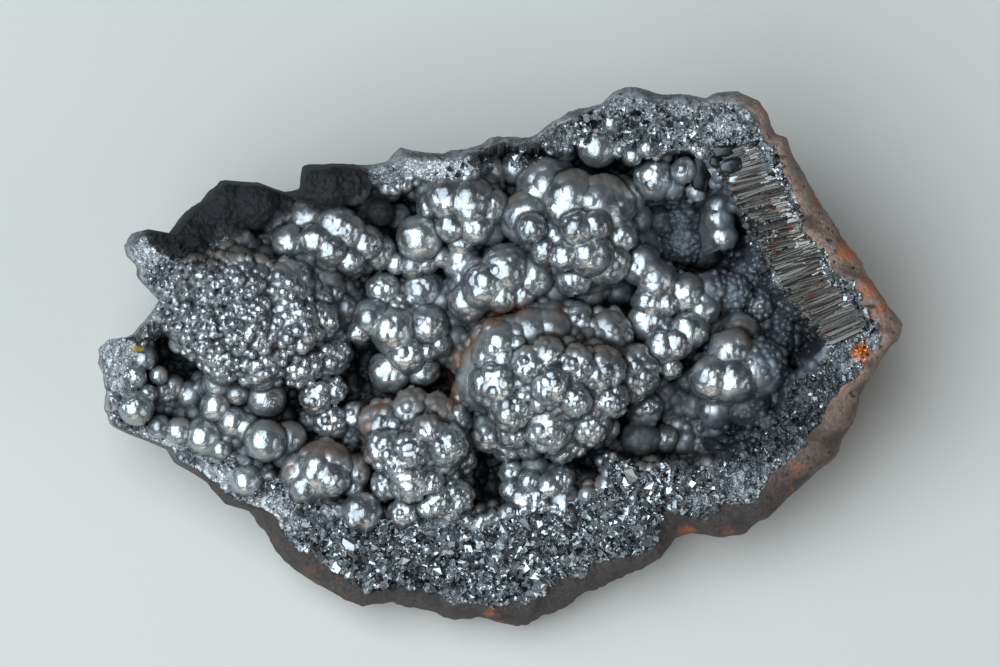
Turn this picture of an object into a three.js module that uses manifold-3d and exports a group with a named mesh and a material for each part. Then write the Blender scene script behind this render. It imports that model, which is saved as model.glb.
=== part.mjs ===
// A hand specimen of botryoidal goethite: a thick broken piece of a vein lining whose hollow face is
// filled with fused round lumps, with a granular broken rim, a fibrous break along the right side and
// a plain brown rind on the sides and back. It grew as one piece, so it is one solid.
//
// Millimetres, +Z up. The specimen rests on its back with the hollow face leaning towards -Y.
// The face is laid out on a flat sheet: x mm to the right, y mm down, and w mm out of the sheet towards
// whoever looks at the face. The rim lies near w = 0, and the floor of the hollow well below it.
import * as THREE from "three";
import { mergeVertices } from "three/addons/utils/BufferGeometryUtils.js";
import Module from "manifold-3d";

// The sheet's origin, and the middle that the rim is measured from.
const SHEET_ORIGIN = [99.9, 70.6];
const RIM_MIDDLE = [102, 70];

// The face leans this many degrees from level, and the sheet's origin comes to lie at this place,
// which puts the part's origin under the middle of the whole specimen.
const FACE_LEAN = 18;
const FACE_PLACE = [0, -4.88, 34];

// The stretch of the sheet that holds the whole specimen.
const SHEET_START = [9, 9];
const SHEET_END = [189, 129];

// Outline stretches longer than this are divided.
const OUTLINE_STEP = 3.2;

// The outline of the specimen as seen square to its face, clockwise from the left tip.
const OUTLINE = [
  [24, 49], [26, 46.4], [29.4, 45.6], [33.2, 46.4], [35.6, 43.4], [38.4, 40.4], [43.6, 35.6], [51, 36],
  [56.2, 38], [59.2, 37.4], [60.2, 33.2], [66, 32.4], [72.4, 32.8], [77, 32], [80, 29.6], [85, 30.4],
  [91.4, 30], [95.6, 28.6], [100.4, 26.8], [106.4, 26.6], [110, 24], [116, 21.2], [120.4, 20.4],
  [123.2, 17.4], [126.4, 16.8], [133, 18.4], [138, 18.4], [141.6, 19.4], [143.2, 18.2], [148, 17.8],
  [152, 20], [154.2, 22.4], [155.4, 26.4], [157.8, 27], [159.6, 32.4], [164.4, 41.2], [170, 49],
  [174, 55.2], [177.6, 59.6], [181, 64.8], [180.6, 68], [176.6, 72.4], [174, 78], [171, 85.4],
  [167.6, 91.6], [162, 96.4], [154, 103.6], [149, 106.6], [144, 107.6], [138.4, 106.8], [135.2, 108],
  [132.6, 112], [128, 114.2], [120, 117.4], [113, 121.6], [106, 125.6], [101, 125.4], [95.6, 124.2],
  [90, 124], [83, 121.6], [78.4, 120.6], [72.4, 121.6], [67, 119.2], [62.4, 116], [56.6, 112.2],
  [53, 106.4], [49.2, 102.6], [44.8, 101.2], [41.6, 97.4], [34.4, 92.8], [32.6, 90], [26, 87.4],
  [21.2, 85.4], [19.6, 81.6], [20, 78.4], [18.8, 70], [21.2, 67.6], [25.4, 67.4], [28, 64.4],
  [30.6, 61.4], [31.4, 60], [29.4, 58.2], [26.6, 55], [26.8, 53.2], [24.4, 51],
];

// The rim by bearing, in degrees anticlockwise from the right: how wide the rind shows outside the
// crest, how wide the broken band inside it is, how high crest and lip stand, and the hollow's floor.
const RIM = [
  { at: 0, rind: 4, band: 10.5, crest: 2, lip: -1, floor: -18 },
  { at: 10, rind: 6, band: 12, crest: 4, lip: -1, floor: -21 },
  { at: 20, rind: 5, band: 11.5, crest: 4, lip: 0, floor: -23 },
  { at: 30, rind: 4, band: 10.6, crest: 4, lip: 0, floor: -23 },
  { at: 45, rind: 3, band: 12, crest: 2, lip: -1, floor: -22 },
  { at: 60, rind: 3.5, band: 11, crest: 2, lip: -3, floor: -19 },
  { at: 74, rind: 2, band: 6, crest: 0, lip: -3, floor: -17 },
  { at: 92, rind: 1.6, band: 2.6, crest: -1, lip: -1.5, floor: -17 },
  { at: 113, rind: 2, band: 4, crest: -2, lip: -4, floor: -16 },
  { at: 134, rind: 3, band: 4, crest: -6, lip: -7, floor: -16 },
  { at: 150, rind: 5, band: 6, crest: -9, lip: -9, floor: -13 },
  { at: 166, rind: 2, band: 12, crest: -2, lip: -2, floor: -9 },
  { at: 173, rind: 1, band: 8, crest: -3, lip: -6, floor: -12 },
  { at: 181, rind: 1.5, band: 6, crest: -2, lip: -5, floor: -16 },
  { at: 192, rind: 2, band: 4, crest: -7, lip: -8, floor: -15 },
  { at: 204, rind: 4, band: 7, crest: -6, lip: -7, floor: -14 },
  { at: 217, rind: 6, band: 8, crest: -5, lip: -6, floor: -14 },
  { at: 240, rind: 5, band: 14, crest: -5, lip: -5, floor: -14 },
  { at: 257, rind: 4, band: 17, crest: -6, lip: -4, floor: -16 },
  { at: 274, rind: 5, band: 18, crest: -6, lip: -3, floor: -17 },
  { at: 291, rind: 5, band: 13, crest: -5, lip: -3, floor: -17 },
  { at: 306, rind: 3, band: 16, crest: -4, lip: -2, floor: -18 },
  { at: 318, rind: 6, band: 15, crest: -3, lip: -3, floor: -19 },
  { at: 330, rind: 6, band: 11, crest: -2, lip: -5, floor: -20 },
  { at: 345, rind: 7, band: 8, crest: 0, lip: -6, floor: -20 },
];

// The specimen is widest this far below its crest. Between the two the rind bulges out, through a
// ring this share of the rind inside the outline and this share of the drop below the crest.
const BELLY_DROP = 8;
const SHOULDER = { inwards: 0.25, drop: 0.45 };

// Rings of the sides below the outline: how far down, how much of the outline's size is left there
// and how uneven they are. The rock goes on for a little below the lowest, to be cut off flat.
const SIDE_RINGS = [
  { drop: 12, size: 0.95, relief: 1.2 },
  { drop: 28, size: 0.87, relief: 2.8 },
  { drop: 54, size: 0.75, relief: 3 },
];
const UNDERSIDE_BULGE = 4;
const GROUND = { width: 400, thickness: 100 };

// The hollow's wall falls from the lip to the floor within this width. The rim rises and dips.
const WALL_RUN = 5;
const RIM_RELIEF = 0.9;

// The waves of the rock's unevenness: how strong, how many go round, and how they turn with depth.
const WAVES = [
  { share: 0.5, round: 3, twist: 0.11, start: 0.7 },
  { share: 0.3, round: 7, twist: -0.17, start: 2.1 },
  { share: 0.2, round: 17, twist: 0.31, start: 0 },
];
const RIM_TWIST = 4;
const SIDE_TWIST = 3;

// Groups of lumps. A mound is the middle x and y, half its width and height on the sheet, its foot
// and its top. Each lump is x, y and its radius; its own height, where given, is a fourth number.
const COLONIES = [
  {
    name: "central dome",
    mound: [111, 77, 22, 16.5, -15, 8],
    lumps: [
      [93, 71.6, 4], [93.6, 79, 3.6], [101, 70.4, 6.8], [100, 77, 5.2], [102.4, 81.6, 4.4],
      [106, 73, 3.6], [109, 65, 5.2], [115, 65, 4.8], [121, 67, 5.6], [127, 67.6, 4.4],
      [109.6, 71, 3.6], [110.4, 77, 4], [115.6, 73, 4], [120, 74, 4.8], [126.4, 74.4, 5.6],
      [132, 78.4, 5.2], [129, 82, 3.6], [122, 80, 3.6], [115, 80, 3.2], [118, 85, 4],
      [109.6, 85.6, 4.8], [103, 86, 3.6], [98, 86, 4.4], [101.6, 88.4, 4], [106, 89, 2.8],
      [112, 89.6, 3.2], [115.4, 89, 2.4], [121.6, 90, 4], [117.2, 92.4, 2.8],
    ],
  },
  {
    name: "upper dome",
    mound: [115, 47, 16.5, 15, -16, 4],
    lumps: [
      [103, 39, 6], [110, 38.4, 6.8], [106, 43.6, 6], [106.4, 45.6, 3, 3.5], [114.4, 40, 6],
      [120, 41.6, 6.8], [124, 40, 5.2], [126.8, 43.6, 3.6], [115.6, 45.6, 3.6, 4.5],
      [119.2, 45, 3.2, 4], [113, 51, 3.2], [118, 50.4, 4.8], [121.4, 52.4, 4.8], [123.6, 57.4, 4.4],
      [128.4, 49, 4], [115, 55.6, 3.6], [111, 57.6, 4], [117.6, 58.8, 3.6], [124, 47, 3.6],
      [109, 50, 2.8],
    ],
  },
  {
    name: "top left domes",
    mound: [93, 42, 12, 12, -15, -1],
    lumps: [
      [90, 39.6, 4.8], [94, 40.4, 5.2], [98, 41.6, 4], [90.4, 45.2, 3.2], [95.2, 45.2, 3.6],
      [98.4, 46, 3.2], [92.4, 48.4, 2.8], [101.6, 45, 3.2], [86, 37, 3.6], [93.2, 34.8, 3.6],
      [97.4, 34.4, 4], [88.4, 35.2, 3.2], [86, 41.2, 2.8],
    ],
  },
  {
    name: "middle ridge",
    mound: [100, 56, 14, 9, -14, 0],
    lumps: [
      [92.6, 52.4, 4], [97.4, 57, 4.8], [94, 60, 4.4], [101.2, 54, 5.2], [106.4, 55, 4.8],
      [100.4, 59, 3.6], [104.4, 59, 2.8], [96, 63.6, 2.8, -7], [98.4, 62.4, 2.4, -7],
    ],
  },
  {
    name: "left centre lumps",
    mound: [80, 66, 16, 15, -16, -4],
    lumps: [
      [76.6, 58, 3.6], [84.6, 58, 4.4], [88.2, 60, 2.8], [74.4, 63.6, 4], [78.6, 66, 4.8],
      [85.6, 65, 4], [91, 63, 3.6], [69, 65, 2.8], [71.6, 66.4, 2.4], [68, 61.6, 2.4],
      [81.4, 71, 4], [88, 69, 2.4], [85.6, 70.4, 2], [78, 74.4, 4.4], [84.4, 74, 3.6],
      [77, 78.4, 2.8], [74, 80.6, 2.4], [80, 77.6, 2.4],
    ],
  },
  {
    name: "upper left ridge",
    mound: [65, 49, 16, 9.5, -15, -1],
    lumps: [
      [56.6, 44.4, 4.4], [62, 43.6, 4.4], [67.2, 45.2, 4.4], [58, 48.4, 3.6], [53, 49.2, 2.4],
      [63, 48, 3.2], [69.6, 46.4, 3.6], [66.2, 50, 3.2], [73, 48.4, 3.6], [75.8, 50.4, 3.6],
      [79.2, 52.6, 2.4, -7], [70, 52, 2.8], [60, 52.8, 2.8], [64.4, 55.2, 4], [68.2, 56.6, 2.8],
      [61.6, 57.6, 3.2],
    ],
  },
  {
    name: "broken ball and its neighbours",
    mound: [84, 49, 6, 6, -14, -3],
    lumps: [
      [84, 47.6, 4.8], [82.6, 53.2, 2.8, -6], [85.4, 52.4, 2.4, -6], [88.4, 51.2, 2.4, -6],
      [76, 42.4, 2.8, -6], [79.6, 43.2, 2.8, -9], [77.6, 38, 2.6, -8],
    ],
  },
  {
    name: "finely beaded slab",
    mound: [48, 63, 27, 19, -12, 3],
    lumps: [
      [28, 50, 4], [32, 54, 6], [40, 57, 7.4], [48, 57, 7.2], [57, 57, 5.4], [40, 65, 7],
      [49, 65, 7.4], [58, 65, 6], [44.6, 71, 5.4], [52, 72.6, 5.2], [60, 73, 4.4], [34, 61, 4.6],
      [66, 71, 4], [63, 79.6, 3.2, -5], [64, 64, 3.6], [66.6, 78, 2.8, -6], [66, 84.4, 3.6, -7],
      [71, 83.4, 3, -8], [70, 87.6, 2.8, -9], [62.4, 84, 2.8, -9],
    ],
  },
  {
    name: "left recess",
    mound: [30, 79, 10, 7, -16, -6],
    lumps: [
      [34, 77.6, 3, -9], [38, 79.2, 3.2, -9], [27, 81.6, 3.7, -2.5], [29.4, 78.8, 1.9, -4],
      [22.4, 80.4, 1.9, -3.5], [28.6, 71.6, 2.6, -4], [26.6, 75.4, 2.6, -3], [31.4, 75, 2, -6],
    ],
  },
  {
    name: "lower left row",
    mound: [46, 86, 14, 10, -14, -4],
    lumps: [
      [43.4, 76.4, 3.2, -4], [43, 81.4, 3.2, -4], [47.4, 78.6, 2.6, -4], [53, 79.6, 4, -4],
      [35.6, 86.4, 3, -5], [40.6, 87.4, 4, -4.5], [44, 90, 2.2, -5], [46.4, 84.4, 3.2, -4],
      [49.2, 85.6, 3, -4], [53, 88.2, 4.3, -0.5], [57.6, 88, 3.8, -4.5], [56.6, 91.4, 2.4, -5],
      [53.6, 94.2, 2.4, -8], [55.2, 98.4, 2.8, -7], [49, 96.2, 3.3, -4], [31.6, 85.4, 2.4, -5],
    ],
  },
  {
    name: "lower left dome",
    mound: [64.6, 95, 10, 8, -13, -1],
    lumps: [
      [64.4, 94, 6], [60, 94.6, 4], [60.8, 97.4, 3.2, -1.5], [66.6, 96.2, 3.2, -0.5],
      [70.6, 94.4, 3.6], [70.6, 97.6, 1.9, -4], [72.2, 102.4, 4.1, -2], [66.2, 102.8, 2.8, -5],
      [77.4, 104.6, 2.6, -8],
    ],
  },
  {
    name: "lower middle dome",
    mound: [84, 90, 13.5, 13.5, -14, 2],
    lumps: [
      [77, 85, 5], [77.6, 90, 4.6], [82.4, 82, 4.2], [85.6, 86, 3, 3], [89.2, 89, 4.2, 2],
      [90.4, 84, 4], [82.6, 90, 3.8], [87.2, 82.6, 4], [79.4, 93, 2.8], [77.4, 97, 3.2, -3],
      [82, 96.4, 4, 0], [86, 96.4, 2.8, -1], [88, 100.4, 3.2, -2], [91, 99.4, 3.7, -3],
      [81, 102.4, 3.2, -3], [85.6, 101.6, 2.2, -2], [90, 102.4, 2.2, -3],
    ],
  },
  {
    name: "lower centre cluster",
    mound: [108, 99, 13, 9, -17, -7],
    lumps: [
      [102.6, 94.8, 2.8], [107.2, 93.2, 2.8], [106, 96.4, 2.4], [102.4, 98, 2.6], [110, 97.4, 2.8],
      [104.8, 100.4, 3.4], [100, 103.6, 3], [102.8, 102.4, 2.8], [107.6, 99.6, 2.4],
      [112.8, 100.4, 3.8], [112.4, 96, 2.8], [118, 98, 3.8], [120, 100.6, 2.8], [109.6, 105, 3.6],
      [115.2, 104, 2.8],
    ],
  },
  {
    name: "lower right dome",
    mound: [147.5, 77, 13, 14, -19, 0],
    lumps: [
      [142.8, 67, 4.9], [148, 66.6, 4.2], [142.6, 75.6, 4.5, 0], [147, 76, 4.6], [146.6, 70.4, 4.6],
      [152.4, 73.6, 5.6], [155.2, 79, 4.4], [139.6, 81, 3], [144, 81.6, 4.2], [150, 81, 4.6],
      [151, 86.4, 3.4], [155, 84.4, 3], [145.6, 86, 2.8], [140.6, 86.4, 2.4], [138, 75.6, 2.4],
    ],
  },
  {
    name: "lumps between the domes",
    mound: [134, 67, 10, 7, -15, -3],
    lumps: [
      [130, 64.4, 4.4], [132.8, 69.2, 3.8], [135.6, 68.8, 3.2], [138, 66, 4], [134.4, 73.6, 2.3, -5],
      [128, 88, 4, -9], [124.4, 94, 3.2, -9], [133, 88, 3, -12],
    ],
  },
  {
    name: "right shelf",
    mound: [138, 58, 16, 9, -21, -5],
    lumps: [
      [128.4, 53, 4.2, -3], [131.6, 56, 4.2, -3.5], [130, 60.4, 3.5, -4.5], [133.6, 60.4, 3, -4.5],
      [137.2, 58.6, 4.1, -5], [140.4, 61.4, 4, -6], [142, 58, 3.6, -7], [146.6, 58.4, 4, -9],
      [152, 61, 3.6, -12], [157, 69, 4, -13], [150, 55, 3.6, -13],
    ],
  },
  {
    name: "right recess",
    mound: [138, 45, 11, 9, -24, -15],
    lumps: [
      [131, 35.6, 4.3, -4], [134.6, 37, 2.8, -5], [137, 34, 2.7, -2], [139.4, 38.2, 2.1, -4],
      [129.6, 29.6, 2.1, 0], [126.6, 31.2, 1.9, -1], [144, 42, 3, -9], [144.8, 45.6, 3.2, -10],
      [136.4, 43, 4.4, -15], [136.6, 48.4, 4.6, -15], [131, 44, 3.6, -13], [132, 50, 3.4, -14],
      [141, 50, 3.6, -17],
    ],
  },
  {
    name: "top slit",
    mound: [112, 31, 12, 5, -17, -8],
    lumps: [
      [113, 29.2, 3.5, -6], [119.6, 29.4, 4.1, -2.5], [103.4, 33.6, 3.7, -8], [108, 34.2, 3.3, -9],
      [116.4, 36.4, 3.8, -8], [112, 24.8, 2, -1], [117, 24.4, 2, -1], [122.4, 24.6, 2.1, 0],
    ],
  },
  {
    name: "dull lumps at the top left",
    mound: [52, 41, 14, 7, -14, -5],
    lumps: [
      [45, 41.4, 6], [51, 40.8, 5], [40.4, 43.6, 3.6, -7], [66, 37.4, 5, -3], [70, 37, 4.2, -3.5],
      [62.8, 37, 3.8, -3.5], [48, 48.4, 3, -5], [41.4, 49.4, 3, -4], [37, 47.2, 2.8, -6],
      [55.6, 43.4, 3.4, -8], [73.6, 41, 3, -8],
    ],
  },
];

// How far a lump stands out of its mound, as a share of its radius, and how far the mound's own
// surface lies below the tops of its lumps.
const LUMP_SINK = 0.8;
const MOUND_SINK = 2.4;

// Where the points of a lump's surface lie, as shares of its radius, with how many go round.
const LUMP_RINGS = [{ share: 0.48, count: 6 }, { share: 0.82, count: 10 }, { share: 0.99, count: 12 }];

// A lump's point shows when no other lump or mound stands higher over it by more than this.
const SHOWING = 0.05;

// The closest two points of the face may lie: on a lump, on the broken band and elsewhere, and the
// closest that a point comes to the crest.
const GAPS = { lump: 1.05, grain: 1.6, plain: 2.2 };
const CREST_GAP = 0.4;

// The broken grains: how far they rise and dip, the share of that which dips, how many places are
// tried and how far those wander from the outline's spokes, in radians.
const GRAIN_RELIEF = 1.9;
const GRAIN_DIP = 0.35;
const GRAIN_TRIES = 9000;
const GRAIN_WANDER = 0.03;

// How far apart the rows of points on plain rock are.
const PLAIN_STEP = 3;

// The fibrous break along the right side: its inner and outer edge, its ridges with the points along
// each, how high they are and the least share of that height.
const FIBRE_INNER = [[143.4, 31], [149.4, 43], [158, 59], [166, 69]];
const FIBRE_OUTER = [[153, 27.6], [160.4, 40], [168.6, 55], [176.4, 64]];
const FIBRE_RIDGES = 15;
const FIBRE_POINTS = 6;
const FIBRE_RELIEF = 1;
const FIBRE_LEAST = 0.4;

const wasm = await Module();
wasm.setup();

// A repeatable row of numbers from 0 to 1.
function numbers(seed) {
  let state = seed;
  return () => {
    state = (state * 1664525 + 1013904223) % 4294967296;
    return state / 4294967296;
  };
}

// A smooth wave over a direction and a depth, from -1 to 1, for the natural unevenness of the rock.
function unevenness(turn, depth) {
  const wave = ({ share, round, twist, start }) => share * Math.sin(round * turn + twist * depth + start);
  return WAVES.reduce((sum, each) => sum + wave(each), 0);
}

// A closed geometry as a solid that can be joined and cut.
function solidFrom(geometry) {
  const bare = new THREE.BufferGeometry();
  bare.setAttribute("position", geometry.getAttribute("position").clone());
  if (geometry.index) bare.setIndex(geometry.index.clone());
  const merged = mergeVertices(bare, 1e-4);
  return new wasm.Manifold(
    new wasm.Mesh({
      numProp: 3,
      vertProperties: new Float32Array(merged.attributes.position.array),
      triVerts: new Uint32Array(merged.index.array),
    }),
  );
}

// A solid back as a geometry with flat faces.
function geometryFrom(solid) {
  const mesh = solid.getMesh();
  const geometry = new THREE.BufferGeometry();
  geometry.setAttribute("position", new THREE.BufferAttribute(mesh.vertProperties, 3));
  geometry.setIndex(new THREE.BufferAttribute(mesh.triVerts, 1));
  const flat = geometry.toNonIndexed();
  flat.computeVertexNormals();
  return flat;
}

// A point of the sheet in the face's own axes: right, up and out.
function onFace([x, y], w) {
  return new THREE.Vector3(x - SHEET_ORIGIN[0], SHEET_ORIGIN[1] - y, w);
}

// The rim's measures at a bearing in radians, eased between the stated bearings.
function rimAt(turn) {
  const bearing = ((THREE.MathUtils.radToDeg(turn) % 360) + 360) % 360;
  const next = RIM.findIndex((key) => key.at > bearing);
  const after = next < 0 ? { ...RIM[0], at: 360 } : RIM[next];
  const before = next < 0 ? RIM[RIM.length - 1] : RIM[next - 1];
  const share = THREE.MathUtils.smoothstep(bearing, before.at, after.at);
  const mixed = {};
  for (const key of ["rind", "band", "crest", "lip", "floor"])
    mixed[key] = THREE.MathUtils.lerp(before[key], after[key], share);
  return mixed;
}

// Bearing and distance of a point of the sheet from the middle of the rim.
function polar([x, y]) {
  const across = x - RIM_MIDDLE[0];
  const up = RIM_MIDDLE[1] - y;
  return { turn: Math.atan2(up, across), away: Math.hypot(across, up) };
}

// The outline with its long stretches divided, each point as a spoke from the middle of the rim.
function outlineSpokes() {
  const spokes = OUTLINE.flatMap((from, i) => {
    const to = OUTLINE[(i + 1) % OUTLINE.length];
    const pieces = Math.ceil(Math.hypot(to[0] - from[0], to[1] - from[1]) / OUTLINE_STEP);
    return Array.from({ length: pieces }, (_, piece) => {
      const share = piece / pieces;
      const { turn, away } = polar([0, 1].map((k) => THREE.MathUtils.lerp(from[k], to[k], share)));
      return { turn, reach: away, rim: rimAt(turn) };
    });
  });
  return spokes.sort((one, other) => one.turn - other.turn);
}

// How far the outline reaches at a bearing, read between the two nearest spokes.
function reachAt(spokes, turn) {
  const next = spokes.findIndex((spoke) => spoke.turn > turn);
  const after = spokes[Math.max(next, 0)];
  const before = spokes[(next <= 0 ? spokes.length : next) - 1];
  const gap = (after.turn - before.turn + 2 * Math.PI) % (2 * Math.PI);
  const passed = (turn - before.turn + 2 * Math.PI) % (2 * Math.PI);
  return THREE.MathUtils.lerp(before.reach, after.reach, passed / gap);
}

// The rock under the lumps: level at the crest, down over the broken band and into the hollow.
function rockHeight(spokes, place) {
  const { turn, away } = polar(place);
  const { rind, band, crest, lip, floor } = rimAt(turn);
  const inwards = reachAt(spokes, turn) - away - rind;
  if (inwards < band) {
    const relief = RIM_RELIEF * unevenness(turn, RIM_TWIST * inwards);
    return THREE.MathUtils.lerp(crest, lip, Math.max(0, inwards) / band) + relief;
  }
  return THREE.MathUtils.lerp(lip, floor, THREE.MathUtils.smoothstep(inwards - band, 0, WALL_RUN));
}

// How high a mound stands over a point of the sheet.
function moundHeight([x, y, wide, tall, foot, top], [px, py]) {
  const away = ((px - x) / wide) ** 2 + ((py - y) / tall) ** 2;
  return top - (top - foot) * Math.min(1, away ** 1.3);
}

// Every lump as the middle and radius of its ball.
function lumpBalls() {
  return COLONIES.flatMap(({ mound, lumps }) =>
    lumps.map(([x, y, radius, own]) => {
      const height = own ?? moundHeight(mound, [x, y]);
      return { x, y, radius, height: height - LUMP_SINK * radius };
    }),
  );
}

// How high a ball stands over a point of the sheet, or nothing beside it.
function ballHeight(ball, [x, y]) {
  const square = ball.radius ** 2 - (x - ball.x) ** 2 - (y - ball.y) ** 2;
  return square > 0 ? ball.height + Math.sqrt(square) : -Infinity;
}

// A point part of the way along a line of straight stretches.
function along(line, share) {
  const place = share * (line.length - 1);
  const from = Math.min(Math.floor(place), line.length - 2);
  return [0, 1].map((k) => THREE.MathUtils.lerp(line[from][k], line[from + 1][k], place - from));
}

// The points of the face inside the crest: lumps first, then fibres, broken grains and the rest.
function facePoints(spokes, crest) {
  const random = numbers(466);
  const balls = lumpBalls();
  const height = (place) =>
    Math.max(
      rockHeight(spokes, place),
      ...COLONIES.map(({ mound }) => moundHeight(mound, place) - MOUND_SINK),
      ...balls.map((ball) => ballHeight(ball, place)),
    );
  const points = [];
  const near = (place, gap) => points.some(({ at }) => Math.hypot(at[0] - place[0], at[1] - place[1]) < gap);
  // A crest edge stays whole while no point lies in the circle that has it as diameter.
  const nearCrest = (place) =>
    crest.some((from, i) => {
      const to = crest[(i + 1) % crest.length];
      const middle = [(from[0] + to[0]) / 2, (from[1] + to[1]) / 2];
      const half = Math.hypot(to[0] - from[0], to[1] - from[1]) / 2;
      return Math.hypot(place[0] - middle[0], place[1] - middle[1]) < half + CREST_GAP;
    });
  const inside = (place) => {
    const { turn, away } = polar(place);
    return reachAt(spokes, turn) - away > rimAt(turn).rind;
  };
  const add = (place, gap, relief) => {
    if (!inside(place) || near(place, gap) || nearCrest(place)) return;
    points.push({ at: place, w: height(place) + relief });
  };

  for (const ball of balls) {
    const shows = (place) => ballHeight(ball, place) > height(place) - SHOWING;
    if (shows([ball.x, ball.y])) add([ball.x, ball.y], GAPS.lump, 0);
    const start = random() * Math.PI;
    for (const { share, count } of LUMP_RINGS)
      for (let i = 0; i < count; i += 1) {
        const turn = start + (i * 2 * Math.PI) / count;
        const reach = share * ball.radius;
        const place = [ball.x + reach * Math.cos(turn), ball.y + reach * Math.sin(turn)];
        if (shows(place)) add(place, GAPS.lump, 0);
      }
  }

  for (let line = 0; line <= 2 * FIBRE_RIDGES; line += 1) {
    const share = Math.min(1, (line + 0.7 * random()) / (2 * FIBRE_RIDGES));
    const ridge = [along(FIBRE_INNER, share), along(FIBRE_OUTER, share)];
    const size = FIBRE_RELIEF * THREE.MathUtils.lerp(FIBRE_LEAST, 1, random());
    const relief = line % 2 ? size : -size;
    for (let i = 0; i < FIBRE_POINTS; i += 1)
      add(along(ridge, (i + 0.5 * random()) / (FIBRE_POINTS - 0.5)), GAPS.lump, relief);
  }

  for (let i = 0; i < GRAIN_TRIES; i += 1) {
    const { turn, reach } = spokes[Math.floor(random() * spokes.length)];
    const { rind, band } = rimAt(turn);
    const away = reach - rind - random() * band;
    const bearing = turn + GRAIN_WANDER * (random() - 0.5);
    const place = [RIM_MIDDLE[0] + away * Math.cos(bearing), RIM_MIDDLE[1] - away * Math.sin(bearing)];
    add(place, GAPS.grain, GRAIN_RELIEF * (random() - GRAIN_DIP));
  }

  for (let y = SHEET_START[1], shift = 0; y < SHEET_END[1]; y += PLAIN_STEP, shift = PLAIN_STEP / 2 - shift)
    for (let x = SHEET_START[0]; x < SHEET_END[0]; x += PLAIN_STEP) add([x + shift, y], GAPS.plain, 0);
  return points;
}

// A triangle of numbered points with the circle through its corners.
function circled(points, corners) {
  const [[ax, ay], [bx, by], [cx, cy]] = corners.map((corner) => points[corner]);
  const d = 2 * (ax * (by - cy) + bx * (cy - ay) + cx * (ay - by));
  const [a, b, c] = [ax * ax + ay * ay, bx * bx + by * by, cx * cx + cy * cy];
  const x = (a * (by - cy) + b * (cy - ay) + c * (ay - by)) / d;
  const y = (a * (cx - bx) + b * (ax - cx) + c * (bx - ax)) / d;
  return { corners: d > 0 ? corners : corners.toReversed(), x, y, square: (ax - x) ** 2 + (ay - y) ** 2 };
}

// The Delaunay triangles of points on a plane, found by adding one point at a time.
function triangulate(points) {
  const far = 1e4;
  const all = [...points, [-far, -far], [far, -far], [0, far]];
  const first = points.length;
  let triangles = [circled(all, [first, first + 1, first + 2])];
  points.forEach(([x, y], index) => {
    const edges = new Map();
    const kept = [];
    for (const triangle of triangles) {
      if ((x - triangle.x) ** 2 + (y - triangle.y) ** 2 >= triangle.square) {
        kept.push(triangle);
        continue;
      }
      triangle.corners.forEach((from, k) => {
        const to = triangle.corners[(k + 1) % 3];
        const name = `${Math.min(from, to)} ${Math.max(from, to)}`;
        if (!edges.delete(name)) edges.set(name, [from, to]);
      });
    }
    for (const [from, to] of edges.values()) kept.push(circled(all, [from, to, index]));
    triangles = kept;
  });
  return triangles.map(({ corners }) => corners).filter((corners) => Math.max(...corners) < first);
}

// Whether a point lies inside a closed line of points.
function isInside([x, y], line) {
  return line.reduce((inside, [ax, ay], i) => {
    const [bx, by] = line[(i + 1) % line.length];
    const crosses = ay > y !== by > y && x < ((bx - ax) * (y - ay)) / (by - ay) + ax;
    return crosses ? !inside : inside;
  }, false);
}

// The whole rock as one closed skin: underside, sides, crest and the face with its lumps.
function rockGeometry() {
  const spokes = outlineSpokes();
  const count = spokes.length;
  const place = (spoke, reach) => [
    RIM_MIDDLE[0] + reach * Math.cos(spoke.turn),
    RIM_MIDDLE[1] - reach * Math.sin(spoke.turn),
  ];
  const sides = SIDE_RINGS.map(({ drop, size, relief }) =>
    spokes.map((spoke) => {
      const reach = spoke.reach * size + relief * unevenness(spoke.turn, SIDE_TWIST * drop);
      return onFace(place(spoke, reach), spoke.rim.crest - BELLY_DROP - drop);
    }),
  ).reverse();
  const belly = spokes.map((spoke) => onFace(place(spoke, spoke.reach), spoke.rim.crest - BELLY_DROP));
  const shoulder = spokes.map((spoke) =>
    onFace(
      place(spoke, spoke.reach - SHOULDER.inwards * spoke.rim.rind),
      spoke.rim.crest - SHOULDER.drop * BELLY_DROP,
    ),
  );
  const crestPlaces = spokes.map((spoke) => place(spoke, spoke.reach - spoke.rim.rind));
  const crest = spokes.map((spoke, i) =>
    onFace(crestPlaces[i], spoke.rim.crest + RIM_RELIEF * unevenness(spoke.turn, 0)),
  );
  const face = facePoints(spokes, crestPlaces).map(({ at, w }) => onFace(at, w));
  const underside = onFace(RIM_MIDDLE, -BELLY_DROP - SIDE_RINGS.at(-1).drop - UNDERSIDE_BULGE);
  const rings = [...sides, belly, shoulder, crest];
  const points = [underside, ...rings.flat(), ...face];

  const faces = [];
  for (let i = 0; i < count; i += 1) {
    const j = (i + 1) % count;
    faces.push(0, 1 + j, 1 + i);
    for (let ring = 0; ring < rings.length - 1; ring += 1) {
      const low = 1 + ring * count;
      const high = low + count;
      faces.push(low + i, low + j, high + j, low + i, high + j, high + i);
    }
  }
  const firstOnCrest = 1 + (rings.length - 1) * count;
  const flat = [...crest, ...face].map(({ x, y }) => [x, y]);
  const rim = flat.slice(0, count);
  for (const corners of triangulate(flat)) {
    const middle = [0, 1].map((k) => corners.reduce((sum, corner) => sum + flat[corner][k], 0) / 3);
    if (isInside(middle, rim)) faces.push(...corners.map((corner) => firstOnCrest + corner));
  }
  const geometry = new THREE.BufferGeometry();
  geometry.setAttribute("position", new THREE.Float32BufferAttribute(points.flatMap((p) => p.toArray()), 3));
  geometry.setIndex(faces);
  return geometry;
}

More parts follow.
